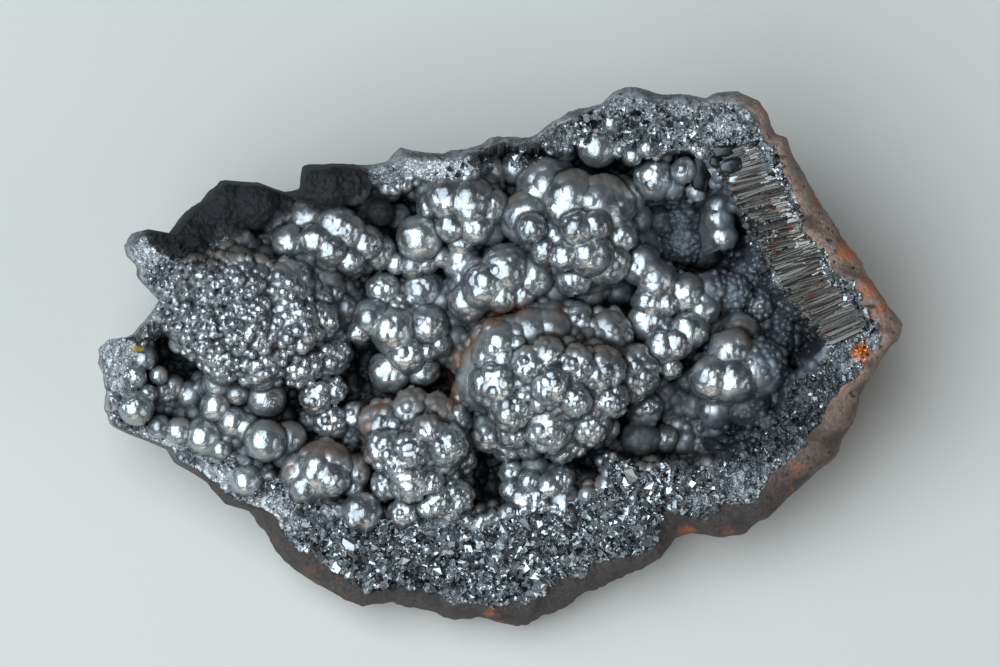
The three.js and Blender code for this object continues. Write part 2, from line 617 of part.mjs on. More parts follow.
// The rock leaned back and cut off flat where it rests.
function specimenGeometry() {
  const leaned = rockGeometry().rotateX(THREE.MathUtils.degToRad(FACE_LEAN)).translate(...FACE_PLACE);
  const { width, thickness } = GROUND;
  const ground = new THREE.BoxGeometry(width, width, thickness).translate(0, 0, -thickness / 2);
  return geometryFrom(solidFrom(leaned).subtract(solidFrom(ground)));
}

const specimen = new THREE.Group();
const goethite = new THREE.Mesh(
  specimenGeometry(),
  new THREE.MeshStandardMaterial({ color: "#5c5e60", roughness: 0.35, metalness: 0.85, flatShading: true }),
);
goethite.name = "goethite";
specimen.add(goethite);

export default specimen;
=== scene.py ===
"""A botryoidal goethite hand specimen: a hollow lined with fused metallic lumps, with a broken granular
rim, a fibrous break along the right side and a brown weathered rind on the sides and back.

The face is laid out on a flat sheet in millimetres: x to the right, y down, and w out of the sheet
towards whoever looks at the face. sheet_to_world leans that sheet back and turns it to metres.
"""

import math

import bpy
import numpy as np
from mathutils import Matrix, Vector


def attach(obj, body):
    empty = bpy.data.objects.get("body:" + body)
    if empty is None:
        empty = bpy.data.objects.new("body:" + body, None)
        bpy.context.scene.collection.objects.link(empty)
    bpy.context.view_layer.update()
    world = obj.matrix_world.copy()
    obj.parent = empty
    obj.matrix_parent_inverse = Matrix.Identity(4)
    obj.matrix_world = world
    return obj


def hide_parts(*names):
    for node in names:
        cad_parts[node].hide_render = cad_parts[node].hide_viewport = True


bl_info = {
    "name": "Botryoidal goethite specimen",
    "version": (1, 0, 0),
    "blender": (4, 5, 0),
    "location": "3D View > Sidebar > Goethite",
    "description": "Dresses the specimen's solid with lumps, broken grains, fibres and rind",
    "category": "Object",
}

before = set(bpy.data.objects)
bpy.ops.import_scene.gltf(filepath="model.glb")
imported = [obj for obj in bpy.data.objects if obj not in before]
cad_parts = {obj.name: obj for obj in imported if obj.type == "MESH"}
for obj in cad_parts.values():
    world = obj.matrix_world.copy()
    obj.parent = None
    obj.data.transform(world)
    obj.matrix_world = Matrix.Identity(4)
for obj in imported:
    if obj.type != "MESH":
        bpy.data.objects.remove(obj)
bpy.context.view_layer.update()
NODE = "goethite"
BODY = "root"
MM = 0.001

# The sheet's origin, the middle that the rim is measured from, the lean of the face in degrees and
# the place of the sheet's origin, all as in the solid.
SHEET_ORIGIN = (99.9, 70.6)
RIM_MIDDLE = (102, 70)
FACE_LEAN = 18
FACE_PLACE = (0, -4.88, 34)

# The outline of the specimen as seen square to its face, clockwise from the left tip.
OUTLINE = (
    (24, 49), (26, 46.4), (29.4, 45.6), (33.2, 46.4), (35.6, 43.4), (38.4, 40.4), (43.6, 35.6), (51, 36),
    (56.2, 38), (59.2, 37.4), (60.2, 33.2), (66, 32.4), (72.4, 32.8), (77, 32), (80, 29.6), (85, 30.4),
    (91.4, 30), (95.6, 28.6), (100.4, 26.8), (106.4, 26.6), (110, 24), (116, 21.2), (120.4, 20.4),
    (123.2, 17.4), (126.4, 16.8), (133, 18.4), (138, 18.4), (141.6, 19.4), (143.2, 18.2), (148, 17.8),
    (152, 20), (154.2, 22.4), (155.4, 26.4), (157.8, 27), (159.6, 32.4), (164.4, 41.2), (170, 49),
    (174, 55.2), (177.6, 59.6), (181, 64.8), (180.6, 68), (176.6, 72.4), (174, 78), (171, 85.4),
    (167.6, 91.6), (162, 96.4), (154, 103.6), (149, 106.6), (144, 107.6), (138.4, 106.8), (135.2, 108),
    (132.6, 112), (128, 114.2), (120, 117.4), (113, 121.6), (106, 125.6), (101, 125.4), (95.6, 124.2),
    (90, 124), (83, 121.6), (78.4, 120.6), (72.4, 121.6), (67, 119.2), (62.4, 116), (56.6, 112.2),
    (53, 106.4), (49.2, 102.6), (44.8, 101.2), (41.6, 97.4), (34.4, 92.8), (32.6, 90), (26, 87.4),
    (21.2, 85.4), (19.6, 81.6), (20, 78.4), (18.8, 70), (21.2, 67.6), (25.4, 67.4), (28, 64.4),
    (30.6, 61.4), (31.4, 60), (29.4, 58.2), (26.6, 55), (26.8, 53.2), (24.4, 51),
)

# The rim by bearing, in degrees anticlockwise from the right: how wide the rind shows outside the
# crest, how wide the broken band inside it is, how high crest and lip stand, and the hollow's floor.
RIM = [
    (0, 4, 10.5, 2, -1, -18),
    (10, 6, 12, 4, -1, -21),
    (20, 5, 11.5, 4, 0, -23),
    (30, 4, 10.6, 4, 0, -23),
    (45, 3, 12, 2, -1, -22),
    (60, 3.5, 11, 2, -3, -19),
    (74, 2, 6, 0, -3, -17),
    (92, 1.6, 2.6, -1, -1.5, -17),
    (113, 2, 4, -2, -4, -16),
    (134, 1.6, 4, -6, -7, -16),
    (150, 2.4, 6, -9, -9, -13),
    (166, 2, 12, -2, -2, -9),
    (173, 1, 8, -3, -6, -12),
    (181, 1.5, 6, -2, -5, -16),
    (192, 2, 4, -7, -8, -15),
    (204, 2.5, 8.5, -6, -7, -14),
    (217, 3.5, 10.5, -5, -6, -14),
    (240, 3.5, 15.5, -5, -5, -14),
    (257, 4, 17, -6, -4, -16),
    (274, 5, 18, -6, -3, -17),
    (291, 5, 13, -5, -3, -17),
    (306, 3, 16, -4, -2, -18),
    (318, 6, 15, -3, -3, -19),
    (330, 6, 11, -2, -5, -20),
    (345, 7, 8, 0, -6, -20),
]

# The rind is nowhere thinner than this, in mm.
THINNEST_RIND = 0.7
# The rind is painted lightest towards this bearing, at the top and right, away from the key lamp: painted
# light.
PAINTED_LIGHT_BEARING = math.radians(50)

# Groups of lumps. A mound is the middle x and y, half its width and height on the sheet, its foot
# and its top. Each lump is x, y and its radius; its own height, where given, is a fourth number.
COLONIES = {
    "central dome": dict(
        mound=(111, 77, 22, 16.5, -15, 8),
        lumps=(
            (93, 71.6, 4), (93.6, 79, 3.6), (101, 70.4, 6.8), (100, 77, 5.2), (102.4, 81.6, 4.4),
            (106, 73, 3.6), (109, 65, 5.2), (115, 65, 4.8), (121, 67, 5.6), (127, 67.6, 4.4),
            (109.6, 71, 3.6), (110.4, 77, 4), (115.6, 73, 4), (120, 74, 4.8), (126.4, 74.4, 5.6),
            (132, 78.4, 5.2), (129, 82, 3.6), (122, 80, 3.6), (115, 80, 3.2), (118, 85, 4),
            (109.6, 85.6, 4.8), (103, 86, 3.6), (98, 86, 4.4), (101.6, 88.4, 4), (106, 89, 2.8),
            (112, 89.6, 3.2), (115.4, 89, 2.4), (121.6, 90, 4), (117.2, 92.4, 2.8),
        ),
    ),
    "shoulder of the central dome": dict(
        mound=(104, 73, 16, 14, -15, 4),
        lumps=(
            (96.8, 76.6, 5.8, -1.6), (98, 73.4, 6, -0.8), (99.8, 71, 6.2, 0), (102.6, 68.8, 6.2, 0.6),
            (106.4, 67, 5.6, 0.8), (110, 66.4, 5, 0.4),
        ),
    ),
    "upper dome": dict(
        mound=(115, 47, 16.5, 15, -16, 4),
        lumps=(
            (103, 39, 6), (110, 38.4, 6.8), (106, 43.6, 6), (106.4, 45.6, 3, 3.5), (114.4, 40, 6),
            (120, 41.6, 6.8), (124, 40, 5.2), (126.8, 43.6, 3.6), (115.6, 45.6, 3.6, 4.5),
            (119.2, 45, 3.2, 4), (113, 51, 3.2), (118, 50.4, 4.8), (121.4, 52.4, 4.8), (123.6, 57.4, 4.4),
            (128.4, 49, 4), (115, 55.6, 3.6), (111, 57.6, 4), (117.6, 58.8, 3.6), (124, 47, 3.6),
            (109, 50, 2.8),
        ),
    ),
    "top left domes": dict(
        mound=(93, 42, 12, 12, -15, -1),
        lumps=(
            (90, 39.6, 4.8), (94, 40.4, 5.2), (98, 41.6, 4), (90.4, 45.2, 3.2), (95.2, 45.2, 3.6),
            (98.4, 46, 3.2), (92.4, 48.4, 2.8), (101.6, 45, 3.2), (86, 37, 3.6), (93.2, 34.8, 3.6),
            (97.4, 34.4, 4), (88.4, 35.2, 3.2), (86, 41.2, 2.8),
        ),
    ),
    "middle ridge": dict(
        mound=(100, 56, 14, 9, -14, 0),
        lumps=(
            (92.6, 52.4, 4), (97.4, 57, 4.8), (94, 60, 4.4), (101.2, 54, 5.2), (106.4, 55, 4.8),
            (100.4, 59, 3.6), (104.4, 59, 2.8), (96, 63.6, 2.8, -7), (98.4, 62.4, 2.4, -7),
        ),
    ),
    "left centre lumps": dict(
        mound=(80, 66, 16, 15, -16, -4),
        lumps=(
            (76.6, 58, 3.6), (84.6, 58, 4.4), (88.2, 60, 2.8), (74.4, 63.6, 4), (78.6, 66, 4.8),
            (85.6, 65, 4), (91, 63, 3.6), (69, 65, 2.8), (71.6, 66.4, 2.4), (68, 61.6, 2.4), (81.4, 71, 4),
            (88, 69, 2.4), (85.6, 70.4, 2), (78, 74.4, 4.4), (84.4, 74, 3.6), (77, 78.4, 2.8),
            (74, 80.6, 2.4), (80, 77.6, 2.4),
        ),
    ),
    "upper left ridge": dict(
        mound=(65, 49, 16, 9.5, -15, -1),
        lumps=(
            (56.6, 44.4, 4.4), (62, 43.6, 4.4), (67.2, 45.2, 4.4), (58, 48.4, 3.6), (53, 49.2, 2.4),
            (63, 48, 3.2), (69.6, 46.4, 3.6), (66.2, 50, 3.2), (73, 48.4, 3.6), (75.8, 50.4, 3.6),
            (79.2, 52.6, 2.4, -7), (70, 52, 2.8), (60, 52.8, 2.8), (64.4, 55.2, 4), (68.2, 56.6, 2.8),
            (61.6, 57.6, 3.2),
        ),
    ),
    "broken ball and its neighbours": dict(
        mound=(84, 49, 6, 6, -14, -3),
        lumps=(
            (84, 47.6, 4.8), (82.6, 53.2, 2.8, -6), (85.4, 52.4, 2.4, -6), (88.4, 51.2, 2.4, -6),
            (76, 42.4, 2.8, -6), (79.6, 43.2, 2.8, -9), (77.6, 38, 2.6, -8),
        ),
    ),
    "finely beaded slab": dict(
        mound=(48, 63, 27, 19, -12, 3),
        lumps=(
            (28, 50, 4), (32, 54, 6), (40, 57, 7.4), (48, 57, 7.2), (57, 57, 5.4), (40, 65, 7),
            (49, 65, 7.4), (58, 65, 6), (44.6, 71, 5.4), (52, 72.6, 5.2), (60, 73, 4.4), (34, 61, 4.6),
            (66, 71, 4), (63, 79.6, 3.2, -5), (64, 64, 3.6), (66.6, 78, 2.8, -6), (66, 84.4, 3.6, -7),
            (71, 83.4, 3, -8), (70, 87.6, 2.8, -9), (62.4, 84, 2.8, -9),
        ),
    ),
    "left recess": dict(
        mound=(30, 79, 10, 7, -16, -6),
        lumps=(
            (34, 77.6, 3, -9), (38, 79.2, 3.2, -9), (27, 81.6, 3.7, -2.5), (29.4, 78.8, 1.9, -4),
            (22.4, 80.4, 1.9, -3.5), (28.6, 71.6, 2.6, -4), (26.6, 75.4, 2.6, -3), (31.4, 75, 2, -6),
        ),
    ),
    "lower left row": dict(
        mound=(46, 86, 14, 10, -14, -4),
        lumps=(
            (43.4, 76.4, 3.2, -4), (43, 81.4, 3.2, -4), (47.4, 78.6, 2.6, -4), (53, 79.6, 4, -4),
            (35.6, 86.4, 3, -5), (40.6, 87.4, 4, -4.5), (44, 90, 2.2, -5), (46.4, 84.4, 3.2, -4),
            (49.2, 85.6, 3, -4), (53, 88.2, 4.3, -0.5), (57.6, 88, 3.8, -4.5), (56.6, 91.4, 2.4, -5),
            (53.6, 94.2, 2.4, -8), (55.2, 98.4, 2.8, -7), (49, 96.2, 3.3, -4), (31.6, 85.4, 2.4, -5),
        ),
    ),
    "lower left dome": dict(
        mound=(64.6, 95, 10, 8, -13, -1),
        lumps=(
            (64.4, 94, 6), (60, 94.6, 4), (60.8, 97.4, 3.2, -1.5), (66.6, 96.2, 3.2, -0.5),
            (70.6, 94.4, 3.6), (70.6, 97.6, 1.9, -4), (72.2, 102.4, 4.1, -2), (66.2, 102.8, 2.8, -5),
            (77.4, 104.6, 2.6, -8),
        ),
    ),
    "lower middle dome": dict(
        mound=(84, 90, 13.5, 13.5, -14, 2),
        lumps=(
            (77, 85, 5), (77.6, 90, 4.6), (82.4, 82, 4.2), (85.6, 86, 3, 3), (89.2, 89, 4.2, 2),
            (90.4, 84, 4), (82.6, 90, 3.8), (87.2, 82.6, 4), (79.4, 93, 2.8), (77.4, 97, 3.2, -3),
            (82, 96.4, 4, 0), (86, 96.4, 2.8, -1), (88, 100.4, 3.2, -2), (91, 99.4, 3.7, -3),
            (81, 102.4, 3.2, -3), (85.6, 101.6, 2.2, -2), (90, 102.4, 2.2, -3),
        ),
    ),
    "lower centre cluster": dict(
        mound=(109, 98.6, 13.5, 9.5, -15, -3),
        lumps=(
            (102.6, 94.8, 2.8), (107.2, 93.2, 2.8), (106, 96.4, 2.4), (102.4, 98, 2.6), (110, 97.4, 2.8),
            (104.8, 100.4, 3.4), (100, 103.6, 3), (102.8, 102.4, 2.8), (107.6, 99.6, 2.4),
            (112.8, 100.4, 3.8), (112.4, 96, 2.8), (118, 98, 3.8), (120, 100.6, 2.8), (109.6, 105, 3.6),
            (115.2, 104, 2.8),
        ),
    ),
    "lower right dome": dict(
        mound=(147.5, 74.6, 13, 11.6, -21, 0),
        lumps=(
            (142.8, 67, 4.9), (148, 66.6, 4.2), (142.6, 75.6, 4.5, 0), (147, 76, 4.6), (146.6, 70.4, 4.6),
            (152.4, 73.6, 5.6), (155.2, 79, 4.4), (139.6, 81, 3), (144, 81.6, 4.2), (150, 81, 4.6),
            (151, 86.4, 3.4), (155, 84.4, 3), (145.6, 86, 2.8), (140.6, 86.4, 2.4), (138, 75.6, 2.4),
        ),
    ),
    "lumps between the domes": dict(
        mound=(134, 67, 10, 7, -15, -3),
        lumps=(
            (130, 64.4, 4.4), (132.8, 69.2, 3.8), (135.6, 68.8, 3.2), (138, 66, 4), (134.4, 73.6, 2.3, -5),
            (128, 88, 4, -9), (124.4, 94, 3.2, -9), (133, 88, 3, -12),
        ),
    ),
    "right shelf": dict(
        mound=(138, 58, 16, 9, -21, -5),
        lumps=(
            (128.4, 53, 4.2, -3), (131.6, 56, 4.2, -3.5), (130, 60.4, 3.5, -4.5), (133.6, 60.4, 3, -4.5),
            (137.2, 58.6, 4.1, -5), (140.4, 61.4, 4, -6), (142, 58, 3.6, -7), (146.6, 58.4, 4, -9),
            (152, 61, 3.6, -12), (157, 69, 4, -13), (150, 55, 3.6, -13),
        ),
    ),
    "right recess": dict(
        mound=(138, 45, 11, 9, -24, -15),
        lumps=(
            (131, 35.6, 4.3, -4), (134.6, 37, 2.8, -5), (137, 34, 2.7, -2), (139.4, 38.2, 2.1, -4),
            (129.6, 29.6, 2.1, 0), (126.6, 31.2, 1.9, -1), (144, 40.6, 2.6, -8), (144.3, 43.6, 3.1, -7.6),
            (145, 47, 3, -8.6), (136.4, 43, 4.4, -15), (136.6, 48.4, 4.6, -15), (131, 44, 3.6, -13),
            (132, 50, 3.4, -14), (141, 50, 3.6, -17),
        ),
    ),
    "top slit": dict(
        mound=(112, 31, 12, 5, -17, -8),
        lumps=(
            (113, 29.2, 3.5, -6), (119.6, 29.4, 4.1, -2.5), (103.4, 33.6, 3.7, -8), (108, 34.2, 3.3, -9),
            (116.4, 36.4, 3.8, -8), (112, 24.8, 2, -1), (117, 24.4, 2, -1), (122.4, 24.6, 2.1, 0),
        ),
    ),
    "dull lumps at the top left": dict(
        mound=(52, 41, 14, 7, -14, -5),
        lumps=(
            (45, 41.4, 6), (51, 40.8, 5), (40.4, 43.6, 3.6, -7), (66, 37.4, 5, -3), (70, 37, 4.2, -3.5),
            (62.8, 37, 3.8, -3.5), (48, 48.4, 3, -5), (41.4, 49.4, 3, -4), (37, 47.2, 2.8, -6),
            (55.6, 43.4, 3.4, -8), (73.6, 41, 3, -8),
        ),
    ),
}

# How the lumps of a group are lobed, coarse lobes first: the radius of a lobe as a share of its
# lump's, from least to most, how far it stands proud as a share of the lump's radius, from least to
# most, and how many times over the lobes would cover the lump.
PLAIN = (((1, 1), (0, 0), 0),) * 2
SMOOTH = (((0.6, 0.85), (0.01, 0.05), 0.9), ((0.4, 0.6), (0.01, 0.04), 0.6))
LOBED = (((0.5, 0.75), (0.03, 0.1), 2.0), ((0.35, 0.5), (0.05, 0.11), 0.6))
KNOBBLY = (((0.38, 0.55), (0.06, 0.14), 1.3), ((0.26, 0.38), (0.1, 0.17), 1.0))
BEADING = {
    "shoulder of the central dome": PLAIN,
    "central dome": KNOBBLY,
    "upper dome": LOBED,
    "top left domes": LOBED,
    "middle ridge": LOBED,
    "left centre lumps": LOBED,
    "upper left ridge": LOBED,
    "broken ball and its neighbours": SMOOTH,
    "finely beaded slab": KNOBBLY,
    "left recess": SMOOTH,
    "lower left row": SMOOTH,
    "lower left dome": LOBED,
    "lower middle dome": KNOBBLY,
    "lower centre cluster": LOBED,
    "lower right dome": LOBED,
    "lumps between the domes": LOBED,
    "right shelf": LOBED,
    "right recess": LOBED,
    "top slit": SMOOTH,
    "dull lumps at the top left": SMOOTH,
}

# Patches of fine beads that lie like shot on the surface: middle x and y, half width and height, turn
# in degrees, spacing and bead radius in mm.
SHOT = (
    (47, 62, 22, 12, 18, 1.9, 1.15),
    (40, 60, 16, 10, 18, 1.5, 0.85),
    (31, 53, 9, 6, 20, 0.95, 0.52),
    (44, 70, 9, 6, 30, 1.35, 0.8),
    (60, 72, 9, 8, 10, 2.1, 1.25),
    (22, 74, 4.5, 7, 0, 0.8, 0.42),
    (136.4, 47, 5.6, 9, 0, 1.15, 0.62),
    (157, 68, 7, 10, 30, 1.4, 0.8),
    (150, 58, 9, 6, 20, 1.2, 0.66),
    (152, 86, 9, 6, -20, 1.3, 0.72),
    (152.6, 47, 3.4, 10, 0, 1, 0.5),
)

# The fibrous break along the right side: its inner and outer edge.
FIBRE_INNER = ((143.4, 31), (149.4, 43), (158, 59), (166, 69))
FIBRE_OUTER = ((151.2, 28.4), (158.4, 41), (166.4, 56), (173.6, 65.4))

# As in the solid: how deep a lump's middle lies in its mound, as a share of its radius, and in mm how
# far the mounds are sunk, how far the hollow's wall runs and how far the widest line lies below the crest.
LUMP_SINK = 0.8
MOUND_SINK = 2.4
WALL_RUN = 5
BELLY_DROP = 8
# The sides below the widest line: how far below, share of the outline's reach, and unevenness.
SIDE_RINGS = ((12, 0.95, 1.2), (28, 0.87, 2.8), (54, 0.75, 3))

# The face's points lie this far apart, over this stretch of the sheet, in mm.
STEP = 0.23
SHEET = dict(x=(18, 182), y=(16, 127))
# Small lumps that cover the hollow between the groups: how many, and their usual radius in mm.
FILL_LUMPS = 5200
FILL_RADIUS = 1.05
# The sparkling druse: middle x and y, half width and height of each part.
DRUSE = ((80, 112, 20, 8), (100, 115, 16, 9), (116, 107, 14, 9), (128, 99, 11, 9), (139, 91, 9, 6))
# Where the broken rock is pale and as fine as sandpaper, where the lumps are dull and sooty, and the
# dull dark ledges at the upper left.
PALE = (
    (22, 75, 5, 9), (27, 50, 5, 5), (30, 89, 7, 3), (40, 96, 8, 4), (52, 104, 7, 5), (62, 113, 8, 5),
    (128, 22, 12, 4), (142, 24, 9, 5), (153, 30, 3, 7), (161, 42, 3, 9), (168, 54, 3, 8), (75, 31, 8, 3),
    (88, 33, 8, 3),
)
SOOT = (
    (135, 46, 7.5, 11), (148, 56, 10, 7), (146, 43, 2.4, 4.4), (158, 70, 8, 14), (155, 84, 8, 8),
    (143, 36, 5, 6), (148, 88, 10, 6), (166, 84, 8, 11),
)
LEDGES = ((46, 40.4, 14.5, 8), (66, 36.4, 10.5, 6.6), (37, 46, 9, 6), (76, 42, 4, 4))
# Where the crest at the top left is ribbed up and down.
COMBED = ((83, 32.6, 12, 4),)
# Where the lumps are painted almost black: painted shadow, as on the shaded wall below the fibrous break.
PAINTED_SHADOW_ZONES = (
    (150.4, 44, 3, 9), (155, 55, 4, 8), (161, 66, 4, 7), (151, 84, 9, 6), (158, 77, 4, 7), (146, 90, 9, 4),
    (128, 87, 5, 5),
)
# A spot of yellow ochre at the left recess.
OCHRE = ((27.4, 69.8, 1.3, 0.5),)
# Where the beads are as fine as sand.
SANDY = ((38, 58, 13, 12), (30, 53, 9, 7), (22, 74, 6, 9))
# Caves between the lumps: middle x and y, half width and height, and the level of the floor.
CAVES = (
    (36, 71.6, 7, 5.4, -17), (73, 73, 4.6, 4.6, -18), (91, 75, 3.4, 5, -17), (98.4, 95.4, 3.2, 6, -18),
    (102.5, 31.4, 8, 2.4, -15), (140, 49, 10, 9, -22), (127, 84, 5, 5, -20), (88, 79, 3, 4, -18),
)
# Larger crystals on the broken band: x, y and half width. They lean to the left by this slope.
PLATE_LEAN = -0.25
PLATES = (
    (69, 111, 1.7), (80, 109, 1.5), (79, 112, 1.3), (88, 108, 1.5), (96, 109, 1.9), (100, 111, 1.4),
    (108, 105, 2.2), (86, 105, 1.2), (74, 35.6, 1.6), (73, 108.6, 1.1), (92, 113, 1.2),
    (105, 110, 1.3), (112, 108, 1.2), (118, 103, 1.4), (121, 106, 1.1), (126, 97, 1.3), (130, 101, 1.1),
    (134, 93, 1.5), (138, 96, 1.1), (141, 90, 1.3), (84, 116, 1.1), (97, 118, 1.2), (103, 116, 1),
    (128, 29, 1.3), (117, 26, 1.4), (120.6, 27.2, 1.2), (86, 33.4, 1.2), (78, 33.6, 1.3),
    (160, 92, 1.1), (165, 86, 1), (51, 99, 1.1), (57, 104, 1.2), (36, 91.6, 1),
)
# Dark blocks at the head of the fibrous break, the last of them painted bright as a glinting facet: x, y, the
# least w, half width and half height, turn in degrees and tone.
BLOCKS = (
    (140.8, 33.8, -5, 2.1, 4.9, 6, 0), (145.2, 30.2, 0, 2.6, 1.2, -6, 0.04),
    (146.4, 33, 0, 2.6, 1.4, -12, 0.08), (143.4, 32.4, -1, 1.4, 1.2, 10, 0.02),
    (147.4, 35.7, 0, 1.7, 0.8, -14, 0.6),
)
# How steeply the fibres of the break rise to the right, in degrees.
FIBRE_LEAN = 20
# The face is made in strips, so that no piece grows too heavy: where one ends and the next begins.
STRIP_ENDS = (18, 72, 108, 144, 182)
# The sky is looked for in this many directions, at these distances in mm.
SKY_TURNS = 12
SKY_REACHES = (0.5, 0.9, 1.5, 2.4, 3.8, 6, 9, 13)
# The face goes on under the rind by this share of the rind's width, but no further than this.
EDGE_SHARE = 0.45
EDGE_MOST = 1.4
# Below its points the face goes down into the rock to this level, drawn in to this share.
CORE_LEVEL = -25
CORE_SHARE = 0.82


def sheet_to_world(x, y, w):
    """Points of the sheet in mm as points of the scene in metres, one row each."""
    lean = math.radians(FACE_LEAN)
    across = x - SHEET_ORIGIN[0]
    up = SHEET_ORIGIN[1] - y
    return MM * np.stack(
        (
            across + FACE_PLACE[0],
            up * math.cos(lean) - w * math.sin(lean) + FACE_PLACE[1],
            up * math.sin(lean) + w * math.cos(lean) + FACE_PLACE[2],
        ),
        axis=-1,
    )


def ground_level(y):
    """The level on the sheet at which the ground lies."""
    lean = math.radians(FACE_LEAN)
    return -(FACE_PLACE[2] + (SHEET_ORIGIN[1] - y) * math.sin(lean)) / math.cos(lean)


def polar(x, y):
    """Bearing in radians and distance of points from the middle of the rim."""
    across = x - RIM_MIDDLE[0]
    up = RIM_MIDDLE[1] - y
    return np.arctan2(up, across), np.hypot(across, up)


def outline_reaches():
    """Bearings, sorted, and how far the outline reaches at each."""
    ring = np.array(OUTLINE, float)
    after = np.roll(ring, -1, axis=0)
    shares = np.linspace(0, 1, 8, endpoint=False)
    dense = (ring[:, None] + (after - ring)[:, None] * shares[None, :, None]).reshape(-1, 2)
    turn, away = polar(dense[:, 0], dense[:, 1])
    order = np.argsort(turn)
    return turn[order], away[order]


OUTLINE_TURNS, OUTLINE_REACHES = outline_reaches()


def reach_at(turn):
    """How far the outline reaches at a bearing."""
    return np.interp(turn, OUTLINE_TURNS, OUTLINE_REACHES, period=2 * math.pi)


def rim_at(turn):
    """The rim's measures at a bearing: rind, band, crest, lip and floor."""
    bearing = np.degrees(turn) % 360
    keys = np.array(RIM + [(360,) + RIM[0][1:]], float)
    after = np.searchsorted(keys[:, 0], bearing, side="right").clip(1, len(keys) - 1)
    start, end = keys[after - 1], keys[after]
    share = ((bearing - start[..., 0]) / (end[..., 0] - start[..., 0])).clip(0, 1)
    share = share * share * (3 - 2 * share)
    measures = [start[..., k] + (end[..., k] - start[..., k]) * share for k in range(1, 6)]
    around = (70 * np.cos(turn), 70 * np.sin(turn))
    measures[0] = measures[0] * (1 + 0.55 * rough(*around, 7, 21)) + 0.5 * rough(*around, 2.5, 25)
    measures[0] = np.maximum(measures[0], THINNEST_RIND)
    return measures


def smoothstep(value, low, high):
    share = ((value - low) / (high - low)).clip(0, 1)
    return share * share * (3 - 2 * share)


def patchy(x, y, size, seed):
    """Smooth random patches of a size in mm over the sheet, from -1 to 1."""
    lattice = np.random.default_rng(seed).uniform(-1, 1, (257, 257))
    column, row = x / size + 31.7, y / size + 17.3
    i, j = np.floor(column).astype(int) % 256, np.floor(row).astype(int) % 256
    u, v = column % 1, row % 1
    u, v = u * u * (3 - 2 * u), v * v * (3 - 2 * v)
    top = lattice[j, i] * (1 - u) + lattice[j, i + 1] * u
    bottom = lattice[j + 1, i] * (1 - u) + lattice[j + 1, i + 1] * u
    return top * (1 - v) + bottom * v


def rough(x, y, size, seed, octaves=4, keep=0.55):
    """Patches upon smaller patches, as on broken rock."""
    total, weight, sum_of = 0, 1, 0
    for octave in range(octaves):
        total = total + weight * patchy(x, y, size / 2**octave, seed + octave)
        sum_of += weight
        weight *= keep
    return total / sum_of


def blurred(values, cells):
    """A picture of numbers smoothed over a width in cells, by three passes of a running mean."""
    for _ in range(3):
        for axis in (0, 1):
            width = 2 * cells + 1
            padding = [(0, 0), (0, 0)]
            padding[axis] = (cells + 1, cells)
            sums = np.cumsum(np.pad(values, padding, mode="edge"), axis=axis)
            low = np.take(sums, range(sums.shape[axis] - width), axis=axis)
            high = np.take(sums, range(width, sums.shape[axis]), axis=axis)
            values = (high - low) / width
    return values


def in_zone(x, y, zone):
    """How much points belong to a zone of the sheet, from 0 to 1, with a ragged border."""
    inside = np.zeros_like(x)
    ragged = 0.3 * rough(x, y, 5, 81)
    for zx, zy, wide, tall in zone:
        away = np.hypot((x - zx) / wide, (y - zy) / tall) + ragged
        inside = np.maximum(inside, 1 - smoothstep(away, 0.65, 1.15))
    return inside


# Waves of the bare rock: height and size in mm, and seed.
ROCK_WAVES = ((0.9, 9, 11), (0.5, 3, 12))


def rock_waves(x, y):
    """How far the bare rock rises and dips about its general level."""
    return sum(height * rough(x, y, size, seed) for height, size, seed in ROCK_WAVES)


def faceted(x, y, size, steepness, seed):
    """Flat facets of a size, each with its own slope, level and tone from 0 to 1."""
    table = np.random.default_rng(seed).uniform(-1, 1, (6, 256, 256))
    column, row = np.floor(x / size).astype(int), np.floor(y / size).astype(int)
    best = np.full(x.shape, np.inf)
    height, tone = np.zeros_like(x), np.zeros_like(x)
    for right in (-1, 0, 1):
        for down in (-1, 0, 1):
            c, r = column + right, row + down
            shift_x, shift_y, lean_x, lean_y, level, shade = table[:, r % 256, c % 256]
            dx = x - (c + 0.5 + 0.45 * shift_x) * size
            dy = y - (r + 0.5 + 0.45 * shift_y) * size
            away = np.abs(dx + 0.3 * shade * dy) + np.abs(dy - 0.3 * level * dx)
            wins = away < best
            best = np.where(wins, away, best)
            height = np.where(wins, steepness * (lean_x * dx + lean_y * dy) + 0.22 * level * size, height)
            tone = np.where(wins, (shade + 1) / 2, tone)
    return height, tone


def along_fibres(x, y):
    """Points of the sheet as places along the fibres of the break and over them."""
    lean = math.radians(FIBRE_LEAN)
    return x * math.cos(lean) - y * math.sin(lean), x * math.sin(lean) + y * math.cos(lean)


def in_break(x, y):
    """How far points lie into the fibrous break, along its fibres from 0 to 1, or -1 off it."""
    along, over = along_fibres(x, y)
    inner, outer = (along_fibres(*np.array(edge, float).T) for edge in (FIBRE_INNER, FIBRE_OUTER))
    start = np.interp(over, inner[1], inner[0])
    share = (along - start) / (np.interp(over, outer[1], outer[0]) - start)
    inside = (over > inner[1][0]) & (over < inner[1][-1]) & (share > 0) & (share < 1.5)
    return np.where(inside, share, -1)


# Seeds of the random draws, so that every run gives the same specimen.
FACE_SEED, GRAIN_SEED, FIBRE_SEED, CRYSTAL_SEED, DENT_SEED = 466, 467, 468, 469, 471

# Facets of the broken ground and of the gritty beads: size in mm, steepness and seed.
COARSE_FACETS = (2.3, 0.75, 41)
FINE_FACETS = (1.05, 0.8, 42)
GRIT_FACETS = (1.1, 0.6, 44)
# How high the ribs of the fibrous break and of the crest stand, and the grain of the velvety ledges.
RIB_HEIGHT = 0.8
VELVET_HEIGHT = 0.8
# How high the slow waves and the small ones on the lumps are, in mm.
LUMP_WAVES = (0.1, 0.03)
# Outside the crest the face falls away this steeply.
EDGE_FALL = 3
